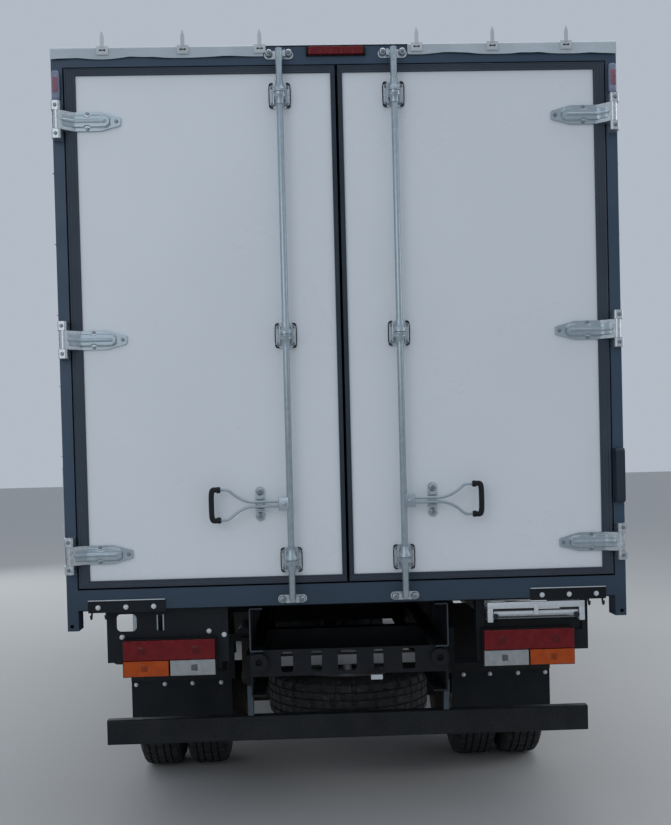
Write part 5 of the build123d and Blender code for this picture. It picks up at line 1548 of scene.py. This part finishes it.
def makeWipers(size):
    dark, rubber = [], []
    for pivot in size["pivots"]:
        foot, normal = onCab(pivot, 0, size["foot"], "front")
        dark.append(turned(size["footProfile"], foot))
        line, blade = [], []
        for share in (0.0, 0.3, 0.65, 1.0):
            x, z = pivot + size["reach"] * share, size["foot"] + size["rise"][0] + size["rise"][1] * share
            place, normal = onCab(x, 0, z, "front", "cab_glass" if share > 0.3 else "cab_shell")
            if place is None:
                place, normal = onCab(x, 0, z, "front", "cab_glass")
            line.append(place + Vector((0, size["armOff"], 0)))
        dark.append(roundTube(line, size["arm"]))
        end = line[-1]
        for share in (-0.5, -0.25, 0.0, 0.25, 0.5):
            (wide, tall), (shift, rise) = size["blade"], size["bladeAt"]
            x, z = end.x + wide * share + shift, size["foot"] + rise + tall * share
            place, normal = onCab(x, 0, z, "front", "cab_glass")
            if place is not None:
                blade.append(place + Vector((0, size["bladeOff"], 0)))
        rubber.append(roundTube(blade, size["bladeRadius"]))
        link = (end.y - 0.012 - doorFaceY, end.y - doorFaceY)
        dark.append(block(around(end.x, 0.035), link, around(end.z, 0.006)))
    mount(dark, "wiperArms", "blackPlastic", "cab")
    mount(rubber, "wiperBlades", "gripRubber", "cab")


makeWipers(wiperMeasures)

cabMeasures = {
    "handleX": (1.146, 1.1615), "handleY": (6.105, 6.245), "handleZ": (1.437, 1.478),
    "keyAt": (1.1395, 6.075, 1.457), "key": ((0.0, 0.013), (0.004, 0.013), (0.005, 0.009), (0.005, 0.0)),
    "mirrorX": (1.262, 1.412), "mirrorY": (7.2115, 7.2165), "mirrors": ((1.880, 2.210), (1.636, 1.814)),
    "lampX": (0.7005, 1.0095), "lampZ": (0.4705, 0.6295), "lampY": (7.402, 7.486), "rim": 0.008,
    "recess": -0.06,
    "reflectors": (0.775, 0.925), "reflectorY": 7.426,
    "bowl": (
        (-0.002, 0.012), (-0.010, 0.0363), (-0.028, 0.0561),
        (-0.048, 0.066), (-0.050, 0.069), (-0.046, 0.069),
    ),
    "bulb": ((-0.002, 0.012), (-0.022, 0.010), (-0.026, 0.006), (-0.027, 0.0)),
    "coverInside": 0.006, "coverY": (7.481, 7.485), "indicatorY": (7.05, 7.15), "indicatorZ": (1.08, 1.12),
    "core": ((-0.66, 0.66), (7.318, 7.34), (0.925, 1.195)), "fin": 0.022,
}


def makeCabDetails(size):
    middle = sum(size["lampZ"]) / 2
    for side, sign in sidesOfTruck:
        door = "cab_door_" + side.lower()
        handle = block(spanOn(sign, *size["handleX"]), size["handleY"], size["handleZ"], 0.006, 3)
        mount(handle, "cabHandle" + side, "blackPlastic", door)
        x, y, z = size["keyAt"]
        key = turned([(sign * along, radius) for along, radius in size["key"]], at(sign * x, y, z), "X")
        mount(key, "keyBarrel" + side, "brushedZinc", door)
        x = spanOn(sign, *size["mirrorX"])
        panes = [block(x, size["mirrorY"], z, 0.0015) for z in size["mirrors"]]
        mount(panes, "mirrorPanes" + side, "mirrorGlass", "cab")
        # headlamp: a dark bowl housing, two reflectors and a clear cover
        x = spanOn(sign, *size["lampX"])
        housing = block(x, size["lampY"], size["lampZ"])
        shaped(housing, toFront, inset=size["rim"], recess=size["recess"])
        stands = ("headlamps",) if side == "Left" else ()
        mount(softened(housing, 0.004), "headlampHousing" + side, "blackPlastic", stands=stands)
        bowls = []
        for place in size["reflectors"]:
            for part, steps in (("bowl", 32), ("bulb", 20)):
                bowls.append(turned(size[part], at(sign * place, size["reflectorY"], middle), "Y", steps))
        mount(bowls, "headlampReflectors" + side, "mirrorGlass")
        inside = size["coverInside"]
        spans = [(low + inside, high - inside) for low, high in (x, size["lampZ"])]
        mount(block(spans[0], size["coverY"], spans[1], 0.0015), "headlampCover" + side, "lampGlass")
        place, normal = onCab(sign, sum(size["indicatorY"]) / 2, sum(size["indicatorZ"]) / 2, "side")
        if place is not None:
            x = sorted((place.x - sign * 0.004, place.x + sign * 0.014))
            blinker = block(x, size["indicatorY"], size["indicatorZ"], 0.005, 3)
            mount(blinker, "sideIndicator" + side, "orangeLens", "cab")
    # radiator fins behind the grille
    core = block(*size["core"])
    low, high = size["core"][0]
    cutAcross(core, "X", [low + size["fin"] * index for index in range(1, round((high - low) / size["fin"]))])
    shaped(core, toFront, inset=0.004, single=True, shift=(0, -0.006, 0))
    mount(core, "radiatorCore", "chassisSteel", "cab")


makeCabDetails(cabMeasures)
print("cab details")


# Seats: padded pieces swollen by a cloth simulation, on their bases

seatMeasures = {
    "places": (-0.720, 0.720), "voxel": 0.012, "cap": 0.014, "pressure": 4.0, "channels": (-0.115, 0.115),
    "channel": (0.016, 0.009),
    # half widths, then spans or corners as (y, z)
    "cushion": (0.232, (6.008, 6.472), (1.243, 1.362)),
    "back": (0.215, ((5.970, 1.345), (6.078, 1.345), (6.002, 1.985), (5.910, 1.985))),
    "rest": (0.112, ((5.932, 2.022), (6.004, 2.022), (5.990, 2.178), (5.922, 2.178))),
    "base": (0.180, (6.02, 6.42), (1.0395, 1.238)), "baseCuts": (1.09, 1.19),
    "posts": (-0.05, 0.05), "postAt": (5.960, 2.005), "post": (0.006, 0.06),
    "lever": ((0.235, 6.03, 1.27), (0.25, 6.05, 1.29), (0.25, 6.16, 1.30)), "leverRadius": 0.009,
}


def swollen(piece, size):
    # pressure cloth from 1 to 20, with each point's travel capped
    remesh = piece.modifiers.new("voxels", "REMESH")
    remesh.mode = "VOXEL"
    remesh.voxel_size = size["voxel"]
    settle(piece)
    before = [vertex.co.copy() for vertex in piece.data.vertices]
    cloth = piece.modifiers.new("cloth", "CLOTH")
    cloth.settings.use_pressure = True
    cloth.settings.uniform_pressure_force = size["pressure"]
    cloth.settings.effector_weights.gravity = 0
    cloth.settings.quality = 5
    cloth.settings.mass = 0.3
    for frameNumber in range(1, 21):
        bpy.context.scene.frame_set(frameNumber)
    settle(piece)
    bpy.context.scene.frame_set(1)
    for vertex, start in zip(piece.data.vertices, before):
        travel = vertex.co - start
        if travel.length > size["cap"]:
            vertex.co = start + travel.normalized() * size["cap"]
    smooth = piece.modifiers.new("subdivision", "SUBSURF")
    smooth.levels = 1
    return settle(piece, 60)


def sewn(piece, centre, size, sinking, outward):
    # sewn channels: points of the seating face near a channel line sink into the pad
    reach, depth = size["channel"]
    for vertex in piece.data.vertices:
        for channel in size["channels"]:
            off = abs(vertex.co.x - centre - channel)
            if off < reach and sinking(vertex.co):
                vertex.co -= Vector(outward) * depth * (1 - (off / reach) ** 2)


def leaningBlock(x, corners):
    # a block whose side outline is four (y, z) corners
    leaning = block(x, (0, 1), (0, 1))
    low, far, top, near = corners
    for vertex in leaning.data.vertices:
        y, z = vertex.co.y - doorFaceY, vertex.co.z
        corner = (far if y > 0.5 else low) if z < 0.5 else (top if y > 0.5 else near)
        vertex.co = at(vertex.co.x, *corner)
    return softened(leaning, 0.03, 4)


def makeSeats(size):
    first, second = size["places"]
    half, y, z = size["cushion"]
    cushion = swollen(block(around(first, half), y, z, 0.03, 4), size)
    sewn(cushion, first, size, lambda place: place.z > 1.30, (0, 0, 1))
    half, corners = size["back"]
    back = swollen(leaningBlock(around(first, half), corners), size)
    front = doorFaceY + 6.04
    sewn(back, first, size, lambda place: place.y > front - 0.14 * (place.z - 1.345), (0, 1, 0.12))
    half, corners = size["rest"]
    rest = swollen(leaningBlock(around(first, half), corners), size)
    half, y, z = size["base"]
    base = block(around(first, half), y, z)
    low, high = size["baseCuts"]
    cutAcross(base, "Z", (low, high))
    shaped(
        base, lambda centre, normal: abs(normal.z) < 0.5 and low < centre.z < high,
        inset=0.012, single=True, push=-0.012)
    lever = roundTube([at(first + x, y, z) for x, y, z in size["lever"]], size["leverRadius"])
    frameParts = [softened(base, 0.005), lever]
    for x in size["posts"]:
        frameParts.append(roundBar(size["post"][0], at(first + x, *size["postAt"]), size["post"][1]))
    parts = (
        (cushion, "seatCushion", "seatFabric", 0.7), (back, "seatBack", "seatFabric", 0.7),
        (rest, "headrest", "seatFabric", 0.8),
        (joined(frameParts, "seatFrame"), "seatFrame", "trimPlastic", None),
    )
    for piece, name, finish, fill in parts:
        twin = copyTo(piece, (second - first, 0, 0))
        for copy, side in ((piece, "Left"), (twin, "Right")):
            stands = ("seats",) if name == "seatFrame" and side == "Left" else ()
            mount(copy, name + side, finish, "cab", stands=stands)


makeSeats(seatMeasures)
print("seats")
